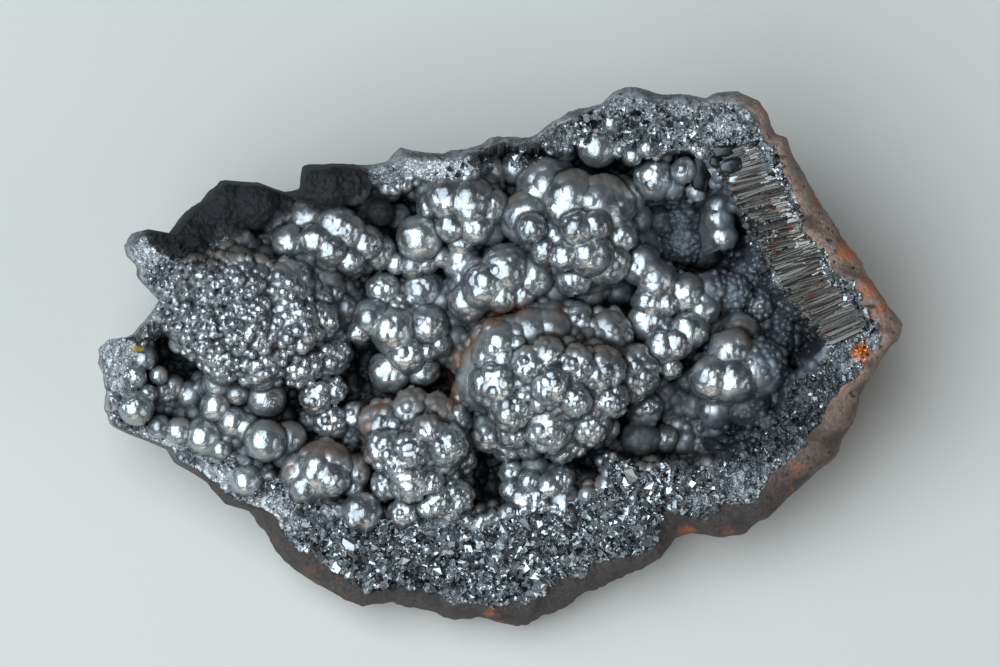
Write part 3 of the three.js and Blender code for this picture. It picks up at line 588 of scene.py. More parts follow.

# Dust with painted shade lies on slopes that face up the sheet, by the slope of the near ground, of the wider
# ground and by chance, each with its weight. It begins at the first slope and is at its most at the second.
DUST_AND_SHADE_WEIGHTS = (0.6, 0.8, 0.5)
DUST_AND_SHADE_SLOPES = (0.5, 1.8)
DUST_AND_SHADE_MOST = 0.85
# Shares of the sky between which the painted shade of a hollow goes from black to none.
PAINTED_SHADE_SKY = (0.12, 0.42)
# Narrow grooves and wide gaps get painted shade: how far below the ground about them it begins and is at its
# most, in mm, and how dark it grows.
GROOVE, GROOVE_SHADE_MOST = (0.05, 0.3), 0.85
GAP, GAP_SHADE_MOST = (0.35, 1.5), 0.7
# How dark the painted shadow of the blackened zones grows, and how much of the painted shade the soot zones
# take away.
PAINTED_SHADOW_MOST = 0.75
SOOT_CLEARS = 0.6
# The broken rock right of and above this place on the sheet is less pale, by this share.
PALE_CORNER, PALE_LESS = (110, 36), 0.55
# No small lumps grow on the wall below the fibrous break.
BARE_WALL = ((160, 52, 12, 22),)


class Face:
    """The height of the face over every point of a fine grid on the sheet, and what it is made of."""

    def __init__(self):
        self.xs = np.arange(SHEET["x"][0], SHEET["x"][1] + STEP, STEP)
        self.ys = np.arange(SHEET["y"][0], SHEET["y"][1] + STEP, STEP)
        self.x, self.y = np.meshgrid(self.xs, self.ys)
        self.turn, self.away = polar(self.x, self.y)
        self.rim = rim_at(self.turn)
        rind = self.rim[0]
        self.inwards = reach_at(self.turn) - self.away - rind
        self.kept = self.inwards > -np.minimum(EDGE_MOST, EDGE_SHARE * rind)
        self.random = np.random.default_rng(FACE_SEED)
        self.tone = np.zeros_like(self.x)
        self.make_rock()
        self.rock = self.w.copy()
        self.raise_mounds()
        self.sink_caves()
        self.raise_fill()
        self.raise_lumps()
        self.raise_shot()
        self.roughen()
        self.shade()

    def make_rock(self):
        """Level at the crest, down over the broken band and into the hollow."""
        _, band, crest, lip, floor = self.rim
        share = (self.inwards / band).clip(0, 1)
        on_band = crest + (lip - crest) * share
        in_hollow = lip + (floor - lip) * smoothstep(self.inwards - band, 0, WALL_RUN)
        self.w = np.where(self.inwards < band, on_band, in_hollow)
        self.w += rock_waves(self.x, self.y)

    def raise_mounds(self):
        for colony in COLONIES.values():
            height = mound_height(colony["mound"], self.x, self.y) - MOUND_SINK
            self.w = np.maximum(self.w, height)

    def raise_balls(self, balls):
        """Balls of middle x, y, w and radius, each raising the face where it stands above it."""
        for x, y, w, radius in balls:
            i0 = max(0, int((x - radius - self.xs[0]) / STEP))
            i1 = min(len(self.xs), int((x + radius - self.xs[0]) / STEP) + 2)
            j0 = max(0, int((y - radius - self.ys[0]) / STEP))
            j1 = min(len(self.ys), int((y + radius - self.ys[0]) / STEP) + 2)
            if i0 >= i1 or j0 >= j1:
                continue
            window = np.s_[j0:j1, i0:i1]
            square = radius**2 - (self.x[window] - x) ** 2 - (self.y[window] - y) ** 2
            height = w + np.sqrt(square.clip(0))
            wins = (square > 0) & (height > self.w[window])
            self.w[window] = np.where(wins, height, self.w[window])
            self.tone[window] = np.where(wins, self.random.uniform(0, 1), self.tone[window])

    def raise_fill(self):
        """Small lumps over the walls and the floor of the hollow, between the groups."""
        band = self.rim[1]
        bare = in_zone(self.x, self.y, BARE_WALL) > 0.3
        inside = np.flatnonzero((self.inwards > band + np.where(bare, 3, -1)).ravel())
        chosen = self.random.choice(inside, FILL_LUMPS)
        x = self.x.ravel()[chosen] + self.random.uniform(-0.5, 0.5, len(chosen)) * STEP
        y = self.y.ravel()[chosen] + self.random.uniform(-0.5, 0.5, len(chosen)) * STEP
        sizes = self.random.lognormal(math.log(FILL_RADIUS), 0.35, len(x)).clip(0.5, 2.6)
        self.raise_balls(zip(x, y, self.height_at(x, y) - 0.45 * sizes, sizes))

    def raise_lumps(self):
        """The lumps of every group, then the beads that grow on them."""
        lumps = [(name, lump) for name, colony in COLONIES.items() for lump in lump_balls(colony)]
        self.raise_balls([ball for _, ball in lumps])
        for level in (0, 1):
            lobes = []
            for name, lump in lumps:
                lobes += self.lobes_of(lump, BEADING[name][level])
            self.raise_balls(lobes)

    def lobes_of(self, lump, style):
        """The balls of one size that lobe the upper side of a lump, spread evenly over it."""
        x, y, w, radius = lump
        size, proud, cover = style
        count = int(cover * 3.2 / (sum(size) / 2) ** 1.6)
        start = self.random.uniform(0, 2 * math.pi)
        lobes = []
        for k in range(count):
            cosine = 1 - 1.02 * min(1, (k + self.random.uniform(0.55, 1.1)) / count)
            turn = start + k * math.pi * (3 - math.sqrt(5)) + self.random.normal(0, 0.3)
            lobe = radius * self.random.uniform(*size)
            reach = radius * (1 + self.random.uniform(*proud)) - lobe
            flat = reach * math.sqrt(max(0, 1 - cosine * cosine))
            lobes.append((x + flat * math.cos(turn), y + flat * math.sin(turn), w + reach * cosine, lobe))
        return lobes

    def raise_shot(self):
        """Fine beads that cover the surface in patches, thinning out at a patch's edge."""
        for x, y, wide, tall, degrees, spacing, radius in SHOT:
            cosine, sine = math.cos(math.radians(degrees)), math.sin(math.radians(degrees))
            columns = np.arange(-wide, wide, spacing)
            rows = np.arange(-tall, tall, spacing * 0.87)
            places = np.array([(c + (j % 2) * spacing / 2, r) for j, r in enumerate(rows) for c in columns])
            places += self.random.normal(0, 0.24 * spacing, places.shape)
            edge = np.hypot(places[:, 0] / wide, places[:, 1] / tall)
            places = places[edge < self.random.uniform(0.7, 1, len(places))]
            px = x + places[:, 0] * cosine - places[:, 1] * sine
            py = y + places[:, 0] * sine + places[:, 1] * cosine
            sizes = radius * self.random.uniform(0.55, 1.3, len(px))
            heights = self.height_at(px, py) - self.random.uniform(0.25, 0.6, len(px)) * sizes
            self.raise_balls(zip(px, py, heights, sizes))

    def sink_caves(self):
        """The caves between the lumps, down to their floors."""
        for x, y, wide, tall, floor in CAVES:
            away = np.hypot((self.x - x) / wide, (self.y - y) / tall) + 0.35 * rough(self.x, self.y, 4, 35)
            self.w -= (1 - smoothstep(away, 0.6, 1.25)) * (self.w - floor).clip(0)

    def roughen(self):
        """Broken ground on the band, the ribs of the fibrous break, and slight waves over everything."""
        band = self.rim[1]
        edge = 3 * rough(self.x, self.y, 6, 31)
        on_rock = 1 - smoothstep(self.w - self.rock, 0.5, 1.6)
        self.ledge = in_zone(self.x, self.y, LEDGES)
        self.sandy = in_zone(self.x, self.y, SANDY)
        self.band = on_rock * (1 - smoothstep(self.inwards - band + edge, -1.5, 1)) * (1 - self.ledge)
        across = in_break(self.x, self.y)
        self.fibrous = (across >= 0) & (across < 1) & (self.band > 0.3)
        coarse, coarse_tone = faceted(self.x, self.y, *COARSE_FACETS)
        fine, fine_tone = faceted(self.x, self.y, *FINE_FACETS)
        mostly = smoothstep(rough(self.x, self.y, 8, 43) + 0.8 * in_zone(self.x, self.y, DRUSE), 0.0, 0.35)
        facets = fine + mostly * (coarse - 0.5 * fine)
        along, over = along_fibres(self.x, self.y)
        ribs = rough(along / 9, over, 1.3, 47, 3, 0.7)
        comb = in_zone(self.x, self.y, COMBED)
        upright = rough(self.x, self.y / 6, 1.2, 48, 2)
        facets = facets * (1 - comb) + comb * (0.3 * facets + RIB_HEIGHT * upright)
        crumbs = np.where(self.fibrous, RIB_HEIGHT * ribs, facets + 0.5 * rough(self.x, self.y, 5, 45))
        self.w += self.band * crumbs
        self.facet = np.where(mostly > 0.5, coarse_tone, fine_tone)
        grit, _ = faceted(self.x, self.y, *GRIT_FACETS)
        lumpy = 1 - self.band
        self.w += lumpy * self.sandy * grit
        self.w += lumpy * self.ledge * VELVET_HEIGHT * rough(self.x, self.y, 1.3, 49, 3, 0.8)
        slow, small = LUMP_WAVES
        waves = slow * rough(self.x, self.y, 2.2, 51, 2) + small * rough(self.x, self.y, 0.7, 53, 1)
        self.w += lumpy * waves
        self.w = np.where(self.inwards < 0, self.w + EDGE_FALL * self.inwards, self.w)

    def shade(self):
        """What colours the surface: a brown bloom, partly real and partly painted shade, on slopes that face
        up the sheet, painted shade in deep places, grooves and gaps, and soot in the hollows.
        """
        cells = max(1, round(1 / STEP))
        soft = blurred(self.w, cells)
        slope = np.gradient(soft, STEP, axis=0)
        broad = blurred(self.w, 3 * cells)
        broad_slope = np.gradient(broad, STEP, axis=0)
        noise = rough(self.x, self.y, 6, 61)
        # Dust with painted shade on the slopes that face up the sheet.
        near, wide, chance = DUST_AND_SHADE_WEIGHTS
        dust_and_shade_lean = near * slope + wide * broad_slope + chance * noise
        self.dust_and_shade = DUST_AND_SHADE_MOST * smoothstep(dust_and_shade_lean, *DUST_AND_SHADE_SLOPES)
        # Painted shade: points that see little sky, narrow grooves, wide gaps and the blackened zones are
        # painted dark, less so in the soot zones.
        self.hollow = 1 - smoothstep(self.openness() + 0.06 * noise, *PAINTED_SHADE_SKY)
        groove = GROOVE_SHADE_MOST * smoothstep(blurred(self.w, 2) - self.w, *GROOVE)
        gap = GAP_SHADE_MOST * smoothstep(broad - self.w, *GAP)
        self.hollow = np.maximum(self.hollow, np.maximum(groove, gap) * (1 - self.band))
        self.soot = in_zone(self.x, self.y, SOOT)
        self.hollow *= 1 - SOOT_CLEARS * self.soot
        self.hollow = np.maximum(self.hollow, PAINTED_SHADOW_MOST * in_zone(self.x, self.y, PAINTED_SHADOW_ZONES))
        corner = (self.x > PALE_CORNER[0]) * (self.y < PALE_CORNER[1])
        self.pale = in_zone(self.x, self.y, PALE) * (1 - PALE_LESS * corner)

    def openness(self):
        """How much of the sky every point of the face sees, from 0 to 1."""
        rows, columns = np.arange(len(self.ys)), np.arange(len(self.xs))
        total = np.zeros_like(self.w)
        for turn in np.linspace(0, 2 * math.pi, SKY_TURNS, endpoint=False):
            steepest = np.zeros_like(self.w)
            for away in SKY_REACHES:
                j = (rows + round(away * math.sin(turn) / STEP)).clip(0, len(rows) - 1)
                i = (columns + round(away * math.cos(turn) / STEP)).clip(0, len(columns) - 1)
                steepest = np.maximum(steepest, (self.w[np.ix_(j, i)] - self.w) / away)
            total += 1 - steepest / np.sqrt(1 + steepest**2)
        return total / SKY_TURNS

    def height_at(self, x, y):
        i = ((np.asarray(x) - self.xs[0]) / STEP).round().astype(int).clip(0, len(self.xs) - 1)
        j = ((np.asarray(y) - self.ys[0]) / STEP).round().astype(int).clip(0, len(self.ys) - 1)
        return self.w[j, i]


def mound_height(mound, x, y):
    mx, my, wide, tall, foot, top = mound
    away = ((x - mx) / wide) ** 2 + ((y - my) / tall) ** 2
    return top - (top - foot) * np.minimum(1, away**1.3)


def lump_balls(colony):
    """Every lump of a group as the middle and radius of its ball."""
    balls = []
    for x, y, radius, *own in colony["lumps"]:
        height = own[0] if own else float(mound_height(colony["mound"], x, y))
        balls.append((x, y, height - LUMP_SINK * radius, radius))
    return balls


def linear(hex_colour):
    """An sRGB hex colour as linear red, green, blue and alpha."""
    channels = [int(hex_colour[i : i + 2], 16) / 255 for i in (1, 3, 5)]
    return tuple(c / 12.92 if c <= 0.04045 else ((c + 0.055) / 1.055) ** 2.4 for c in channels) + (1,)


class SpecimenSizes(bpy.types.PropertyGroup):
    grain_radius: bpy.props.FloatProperty(
        name="Grain radius",
        description="Usual radius of the flat-faced grains on the broken band",
        default=0.37 * MM,
        min=0.1 * MM,
        unit="LENGTH",
    )
    grain_count: bpy.props.IntProperty(
        name="Grains", description="How many grains lie on the broken band", default=15000, min=0
    )
    fibre_radius: bpy.props.FloatProperty(
        name="Fibre radius",
        description="Usual radius of the fibres of the break",
        default=0.33 * MM,
        min=0.1 * MM,
        unit="LENGTH",
    )
    fibre_count: bpy.props.IntProperty(
        name="Fibres", description="How many fibres show in the break", default=1500, min=0
    )
    rind_relief: bpy.props.FloatProperty(
        name="Rind relief",
        description="How deep the pits of the weathered rind are",
        default=1.1 * MM,
        min=0,
        unit="LENGTH",
    )


def colour_property(name, description, hex_colour):
    return bpy.props.FloatVectorProperty(
        name=name, description=description, subtype="COLOR", size=4, min=0, max=1, default=linear(hex_colour)
    )


class SpecimenColours(bpy.types.PropertyGroup):
    lustre: colour_property("Lustre", "The clean grown lumps", "#b2b4b4")
    lustre_dark: colour_property("Dark lustre", "The darker of the clean lumps", "#717376")
    # Partly a real brown bloom and partly painted shade on the slopes that face up the sheet.
    dust_and_shade: colour_property("Dust", "The brown bloom on lumps that face up the sheet", "#5a5048")
    dust_red: colour_property("Red dust", "The bloom where it has more iron oxide", "#6b4a35")
    # Painted shade: the blue-black painted into deep places, grooves and gaps.
    hollow: colour_property("Hollow", "The blue-black of the deep places", "#0b0f14")
    soot: colour_property("Soot", "The dull blue-black lumps of the right recess", "#343c47")
    soot_break: colour_property("Sooty break", "The broken rock beside the dull lumps", "#24262a")
    ledge: colour_property("Ledge", "The velvety ledges at the upper left", "#131315")
    ochre: colour_property("Ochre", "The yellow spot at the left recess", "#96802f")
    pale: colour_property("Pale break", "Broken rock as fine as sandpaper", "#bbbdbe")
    grain: colour_property("Grain", "The lightest faces of the broken grains", "#b5b8ba")
    grain_dark: colour_property("Dark grain", "The darkest faces of the broken grains", "#1e2022")
    # Painted light and shade: short fibre ends are painted towards the lighter colour as glints, long fibres
    # towards the darker one as shade.
    fibre_lit: colour_property("Fibre", "The broken sides of the fibres", "#85817d")
    fibre_shaded: colour_property("Dark fibre", "The fibres in shadow", "#171412")
    fibre_red: colour_property("Red fibre", "Thin edges of the fibres that light comes through", "#511c17")
    rind: colour_property("Rind", "The weathered outside", "#453c39")
    rind_dark: colour_property("Dark rind", "The weathered outside where it is pitted", "#1e1a17")
    # Painted light: the rind is painted lighter at the top and right, the side away from the key lamp.
    rind_painted_light: colour_property("Light rind", "The outside at the top and right", "#9a8072")
    sand: colour_property("Sand", "The lightest grains of the grey granular rind", "#9fa0a1")
    sand_dark: colour_property("Dark sand", "The darkest grains of the grey granular rind", "#444445")
    rust: colour_property("Rust", "The orange iron stain", "#c4682a")
    floor: colour_property("Floor", "The pale floor", "#bdb8b1")


# Iron stains: x, y and radius on the sheet.
STAINS = (
    (163.4, 40, 1.5), (170, 50, 2.5), (174.4, 57.2, 2.8), (177, 61, 2.2), (172.6, 70.2, 2),
    (138, 107.4, 2), (146, 107.6, 1.6), (50, 112, 2.5), (60, 117, 3),
)
# Thin iron stain along the edge of a dome: the points of a line on the sheet.
STAINED_EDGES = (
    ((90.6, 81), (91, 76), (92.6, 71), (96, 66.6), (100, 63.4), (106, 61.4), (112, 62.6)),
    ((73.6, 93), (72.8, 88), (73.4, 83.6), (76, 80.6)),
    ((57.4, 94), (60, 91), (64.6, 89.6), (69.6, 91)),
)
EDGE_WIDTH = 1.5


def from_line(x, y, line):
    """How far points of the sheet are from a line of straight stretches."""
    nearest = np.full(np.shape(x), np.inf)
    for (ax, ay), (bx, by) in zip(line, line[1:]):
        length = (bx - ax) ** 2 + (by - ay) ** 2
        share = (((x - ax) * (bx - ax) + (y - ay) * (by - ay)) / length).clip(0, 1)
        nearest = np.minimum(nearest, np.hypot(x - ax - share * (bx - ax), y - ay - share * (by - ay)))
    return nearest


def rust_at(x, y):
    """How rusty the rock is at points of the sheet, from 0 to 1."""
    rust = np.zeros_like(x)
    width = EDGE_WIDTH * (1 + 0.9 * rough(x, y, 4, 72))
    here = 0.75 * smoothstep(rough(x, y, 2.6, 73), -0.35, 0.3)
    for line in STAINED_EDGES:
        rust = np.maximum(rust, here * (1 - smoothstep(from_line(x, y, line), 0, 1.8 * width)))
    for sx, sy, radius in STAINS:
        ragged = radius * (1 + 0.6 * rough(x, y, 2.2, 71))
        rust = np.maximum(rust, 1 - smoothstep(np.hypot(x - sx, y - sy), 0.4 * ragged, 1.3 * ragged))
    return rust


def deselect():
    bpy.ops.object.select_all(action="DESELECT")


def grid_primitive(name, columns, rows):
    """A grid primitive, with the column and row of every one of its points."""
    deselect()
    bpy.ops.mesh.primitive_grid_add(x_subdivisions=columns, y_subdivisions=rows, size=1)
    piece = bpy.context.object
    piece.name = piece.data.name = name
    flat = np.empty(3 * len(piece.data.vertices))
    piece.data.vertices.foreach_get("co", flat)
    flat = flat.reshape(-1, 3)
    column = ((flat[:, 0] + 0.5) * columns).round().astype(int)
    row = ((flat[:, 1] + 0.5) * rows).round().astype(int)
    return piece, column, row


def move_points(piece, points):
    piece.data.vertices.foreach_set("co", np.ascontiguousarray(points, dtype=np.float32).ravel())
    piece.data.update()


def give(piece, name, values):
    """A number for every point of a piece, for its material to read."""
    attribute = piece.data.attributes.new(name, "FLOAT", "POINT")
    attribute.data.foreach_set("value", np.ascontiguousarray(values, dtype=np.float32))


def select_points(piece, chosen):
    """Leaves exactly the chosen points of the piece selected, and nothing else in the scene."""
    deselect()
    piece.select_set(True)
    bpy.context.view_layer.objects.active = piece
    mesh = piece.data
    mesh.edges.foreach_set("select", np.zeros(len(mesh.edges), bool))
    mesh.polygons.foreach_set("select", np.zeros(len(mesh.polygons), bool))
    mesh.vertices.foreach_set("select", np.asarray(chosen, bool))


def in_edit_mode(*steps):
    """Runs edit mode operators one after another on the active piece."""
    bpy.ops.object.mode_set(mode="EDIT")
    bpy.ops.mesh.select_mode(type="VERT")
    for step, settings in steps:
        step(**settings)
    bpy.ops.object.mode_set(mode="OBJECT")


def finish_piece(piece, materials, smooth_degrees=None):
    """Puts the materials on a piece, shades it and ties it to the solid it stands for."""
    for material in materials:
        piece.data.materials.append(material)
    deselect()
    piece.select_set(True)
    bpy.context.view_layer.objects.active = piece
    if smooth_degrees:
        bpy.ops.object.shade_smooth_by_angle(angle=math.radians(smooth_degrees))
    else:
        bpy.ops.object.shade_flat()
    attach(piece, BODY)
    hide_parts(NODE)
    deselect()


def add(tree, kind, inputs=None, **settings):
    """Adds a node with its settings and inputs, each input a value or the socket that feeds it."""
    node = tree.nodes.new(kind)
    for name, value in settings.items():
        setattr(node, name, value)
    for name, value in (inputs or {}).items():
        if isinstance(value, bpy.types.NodeSocket):
            tree.links.new(value, node.inputs[name])
        else:
            node.inputs[name].default_value = value
    return node


# The sockets of a colour Mix node: its factor, its two colours and its result.
FACTOR, FIRST, SECOND, RESULT = 0, 6, 7, 2


def per_metre(size_mm):
    """A texture scale for a pattern of that size."""
    return 1 / (size_mm * MM)


def new_material(name):
    """An empty material, its tree, and the place on the piece that its patterns go by."""
    material = bpy.data.materials.new(name)
    material.use_nodes = True
    tree = material.node_tree
    tree.nodes.clear()
    return material, tree, add(tree, "ShaderNodeTexCoord").outputs["Object"]


def surface(tree, colour, roughness, metallic, height, strength, depth):
    """Ends a material with its colour, roughness and share of metal, and with relief of a depth in mm."""
    bump = add(tree, "ShaderNodeBump", {"Height": height, "Strength": strength, "Distance": depth * MM})
    shader = add(
        tree, "ShaderNodeBsdfPrincipled",
        {"Base Color": colour, "Roughness": roughness, "Metallic": metallic, "Normal": bump.outputs[0]},
    )
    add(tree, "ShaderNodeOutputMaterial", {"Surface": shader.outputs[0]})


def lustrous_goethite():
    """Grown surface of goethite, smooth as glass: hard bluish glints on a grey-brown near black, with a
    brown bloom, partly real and partly painted shade, on the slopes that face up, and blue-black painted
    shade in grooves and deep places."""
    colours = bpy.context.scene.specimen_colours
    material, tree, place = new_material("grown_goethite_glossy")
    tone, dust_and_shade, hollow, soot, rust, sandy, ledge, ochre = (
        add(tree, "ShaderNodeAttribute", attribute_name=name).outputs["Fac"]
        for name in ("tone", "dust_and_shade", "hollow", "soot", "rust", "sandy", "ledge", "ochre")
    )
    patches = add(
        tree, "ShaderNodeTexNoise",
        {"Vector": place, "Scale": per_metre(4), "Detail": 6.0, "Roughness": 0.7},
    ).outputs["Fac"]
    waves = add(
        tree, "ShaderNodeTexNoise",
        {"Vector": place, "Scale": per_metre(1.1), "Detail": 4.0, "Roughness": 0.6},
    ).outputs["Fac"]
    stretched = add(tree, "ShaderNodeMapping", {"Vector": place, "Scale": (1, 0.4, 1)}).outputs[0]
    streaks = add(
        tree, "ShaderNodeTexNoise", {"Vector": stretched, "Scale": per_metre(0.5), "Detail": 2.0}
    ).outputs["Fac"]
    height = add(
        tree, "ShaderNodeMath", {0: streaks, 1: 0.45, 2: waves}, operation="MULTIPLY_ADD"
    ).outputs[0]
    pebbles = add(
        tree, "ShaderNodeTexVoronoi", {"Vector": place, "Scale": per_metre(0.8), "Randomness": 0.9}
    ).outputs["Distance"]
    hollowed = add(tree, "ShaderNodeMath", {0: pebbles, 1: 2.0}, operation="POWER").outputs[0]
    weight = add(tree, "ShaderNodeMapRange", {"Value": sandy, "To Min": -0.3, "To Max": -0.8}).outputs[0]
    height = add(
        tree, "ShaderNodeMath", {0: hollowed, 1: weight, 2: height}, operation="MULTIPLY_ADD"
    ).outputs[0]
    shade = add(tree, "ShaderNodeMath", {0: tone, 1: 0.5, 2: patches}, operation="MULTIPLY_ADD").outputs[0]
    shade = add(tree, "ShaderNodeMapRange", {"Value": shade, "From Min": 0.4, "From Max": 1.05}).outputs[0]
    colour = add(
        tree, "ShaderNodeMix",
        {FACTOR: shade, FIRST: tuple(colours.lustre_dark), SECOND: tuple(colours.lustre)},
        data_type="RGBA",
    ).outputs[RESULT]
    reddened = add(
        tree, "ShaderNodeMapRange", {"Value": patches, "From Min": 0.54, "From Max": 0.7}
    ).outputs[0]
    # The brown bloom, partly real and partly painted shade on upward slopes, with a redder part.
    bloom = add(
        tree, "ShaderNodeMix",
        {FACTOR: reddened, FIRST: tuple(colours.dust_and_shade), SECOND: tuple(colours.dust_red)}, data_type="RGBA",
    ).outputs[RESULT]
    sooted = add(tree, "ShaderNodeMath", {0: soot, 1: 0.75}, operation="MULTIPLY").outputs[0]
    colour = add(
        tree, "ShaderNodeMix", {FACTOR: dust_and_shade, FIRST: colour, SECOND: bloom}, data_type="RGBA"
    ).outputs[RESULT]
    # The painted shade of the deep places goes on here, with the soot, ledges, rust and ochre.
    for layer, paint in (
        (sooted, colours.soot), (hollow, colours.hollow), (ledge, colours.ledge), (rust, colours.dust_red),
        (ochre, colours.ochre),
    ):
        colour = add(
            tree, "ShaderNodeMix", {FACTOR: layer, FIRST: colour, SECOND: tuple(paint)}, data_type="RGBA"
        ).outputs[RESULT]
    dull = add(tree, "ShaderNodeMath", {0: dust_and_shade, 1: sooted}, operation="MAXIMUM").outputs[0]
    for layer in (rust, hollow, ledge, ochre):
        dull = add(tree, "ShaderNodeMath", {0: dull, 1: layer}, operation="MAXIMUM").outputs[0]
    roughness = add(tree, "ShaderNodeMapRange", {"Value": dull, "To Min": 0.17, "To Max": 0.5}).outputs[0]
    roughness = add(
        tree, "ShaderNodeMath", {0: patches, 1: 0.18, 2: roughness}, operation="MULTIPLY_ADD"
    ).outputs[0]
    roughness = add(
        tree, "ShaderNodeMath", {0: sandy, 1: 0.05, 2: roughness}, operation="MULTIPLY_ADD"
    ).outputs[0]
    roughness = add(
        tree, "ShaderNodeMath", {0: ledge, 1: 0.2, 2: roughness}, operation="MULTIPLY_ADD"
    ).outputs[0]
    metallic = add(tree, "ShaderNodeMapRange", {"Value": dull, "To Min": 0.85, "To Max": 0.25}).outputs[0]
    surface(tree, colour, roughness, metallic, height, 0.34, 0.25)
    return material


def broken_goethite():
    """Fresh break through crystalline goethite: flat faces at all angles, each dark or flashing."""
    colours = bpy.context.scene.specimen_colours
    material, tree, place = new_material("broken_goethite_faceted")
    facet, rust, pale, soot = (
        add(tree, "ShaderNodeAttribute", attribute_name=name).outputs["Fac"]
        for name in ("facet", "rust", "pale", "soot")
    )
    soot = add(tree, "ShaderNodeMath", {0: soot, 1: 0.8}, operation="MULTIPLY").outputs[0]
    cells = add(tree, "ShaderNodeTexVoronoi", {"Vector": place, "Scale": per_metre(0.55)})
    patches = add(
        tree, "ShaderNodeTexNoise", {"Vector": place, "Scale": per_metre(3), "Detail": 6.0, "Roughness": 0.7}
    ).outputs["Fac"]
    shade = add(tree, "ShaderNodeMath", {0: facet, 1: patches}, operation="MULTIPLY").outputs[0]
    shade = add(
        tree, "ShaderNodeMath", {0: cells.outputs["Color"], 1: 0.3, 2: shade}, operation="MULTIPLY_ADD"
    ).outputs[0]
    colour = add(
        tree, "ShaderNodeMix",
        {FACTOR: shade, FIRST: tuple(colours.grain_dark), SECOND: tuple(colours.grain)}, data_type="RGBA",
    ).outputs[RESULT]
    speckle = add(
        tree, "ShaderNodeTexNoise", {"Vector": place, "Scale": per_metre(0.5), "Detail": 2.0}
    ).outputs["Fac"]
    sandy = add(
        tree, "ShaderNodeMapRange", {"Value": speckle, "From Min": 0.3, "From Max": 0.46}
    ).outputs[0]
    sandy = add(tree, "ShaderNodeMath", {0: sandy, 1: pale}, operation="MULTIPLY").outputs[0]
    for layer, paint in ((sandy, colours.pale), (soot, colours.soot_break), (rust, colours.rust)):
        colour = add(
            tree, "ShaderNodeMix", {FACTOR: layer, FIRST: colour, SECOND: tuple(paint)}, data_type="RGBA"
        ).outputs[RESULT]
    height = add(
        tree, "ShaderNodeMath", {0: cells.outputs["Distance"], 1: patches}, operation="ADD"
    ).outputs[0]
    roughness = add(tree, "ShaderNodeMapRange", {"Value": facet, "To Min": 0.25, "To Max": 0.55}).outputs[0]
    surface(tree, colour, roughness, 0.6, height, 0.8, 0.35)
    return material


def crystal_grains():
    """Crystals of goethite broken loose: flat faces like mirrors on dark blocks."""
    colours = bpy.context.scene.specimen_colours
    material, tree, place = new_material("crystal_goethite_polished_faces")
    tone = add(tree, "ShaderNodeAttribute", attribute_name="tone").outputs["Fac"]
    fine = add(
        tree, "ShaderNodeTexNoise", {"Vector": place, "Scale": per_metre(0.5), "Detail": 3.0}
    ).outputs["Fac"]
    colour = add(
        tree, "ShaderNodeMix",
        {FACTOR: tone, FIRST: tuple(colours.grain_dark), SECOND: tuple(colours.grain)}, data_type="RGBA",
    ).outputs[RESULT]
    roughness = add(tree, "ShaderNodeMapRange", {"Value": fine, "To Min": 0.14, "To Max": 0.42}).outputs[0]
    surface(tree, colour, roughness, 0.8, fine, 0.2, 0.1)
    return material


def fibrous_goethite():
    """Radiating fibres broken along their length: silky grey-brown, a glint on each flat side, and
    here and there red where light comes through thin edges."""
    colours = bpy.context.scene.specimen_colours
    material, tree, place = new_material("fibrous_goethite_silky")
    tone = add(tree, "ShaderNodeAttribute", attribute_name="tone").outputs["Fac"]
    fine = add(
        tree, "ShaderNodeTexNoise",
        {"Vector": place, "Scale": per_metre(0.5), "Detail": 4.0, "Roughness": 0.7},
    ).outputs["Fac"]
    red = add(
        tree, "ShaderNodeTexNoise", {"Vector": place, "Scale": per_metre(3.5), "Detail": 3.0}
    ).outputs["Fac"]
    redness = add(
        tree, "ShaderNodeMapRange", {"Value": red, "From Min": 0.6, "From Max": 0.7, "To Max": 0.7}
    ).outputs[0]
    # Painted light and shade: each fibre's tone mixes the lit and the shaded colour.
    colour = add(
        tree, "ShaderNodeMix",
        {FACTOR: tone, FIRST: tuple(colours.fibre_shaded), SECOND: tuple(colours.fibre_lit)}, data_type="RGBA",
    ).outputs[RESULT]
    colour = add(
        tree, "ShaderNodeMix", {FACTOR: redness, FIRST: colour, SECOND: tuple(colours.fibre_red)},
        data_type="RGBA",
    ).outputs[RESULT]
    roughness = add(tree, "ShaderNodeMapRange", {"Value": fine, "To Min": 0.15, "To Max": 0.45}).outputs[0]
    surface(tree, colour, roughness, 0.8, fine, 0.4, 0.2)
    return material


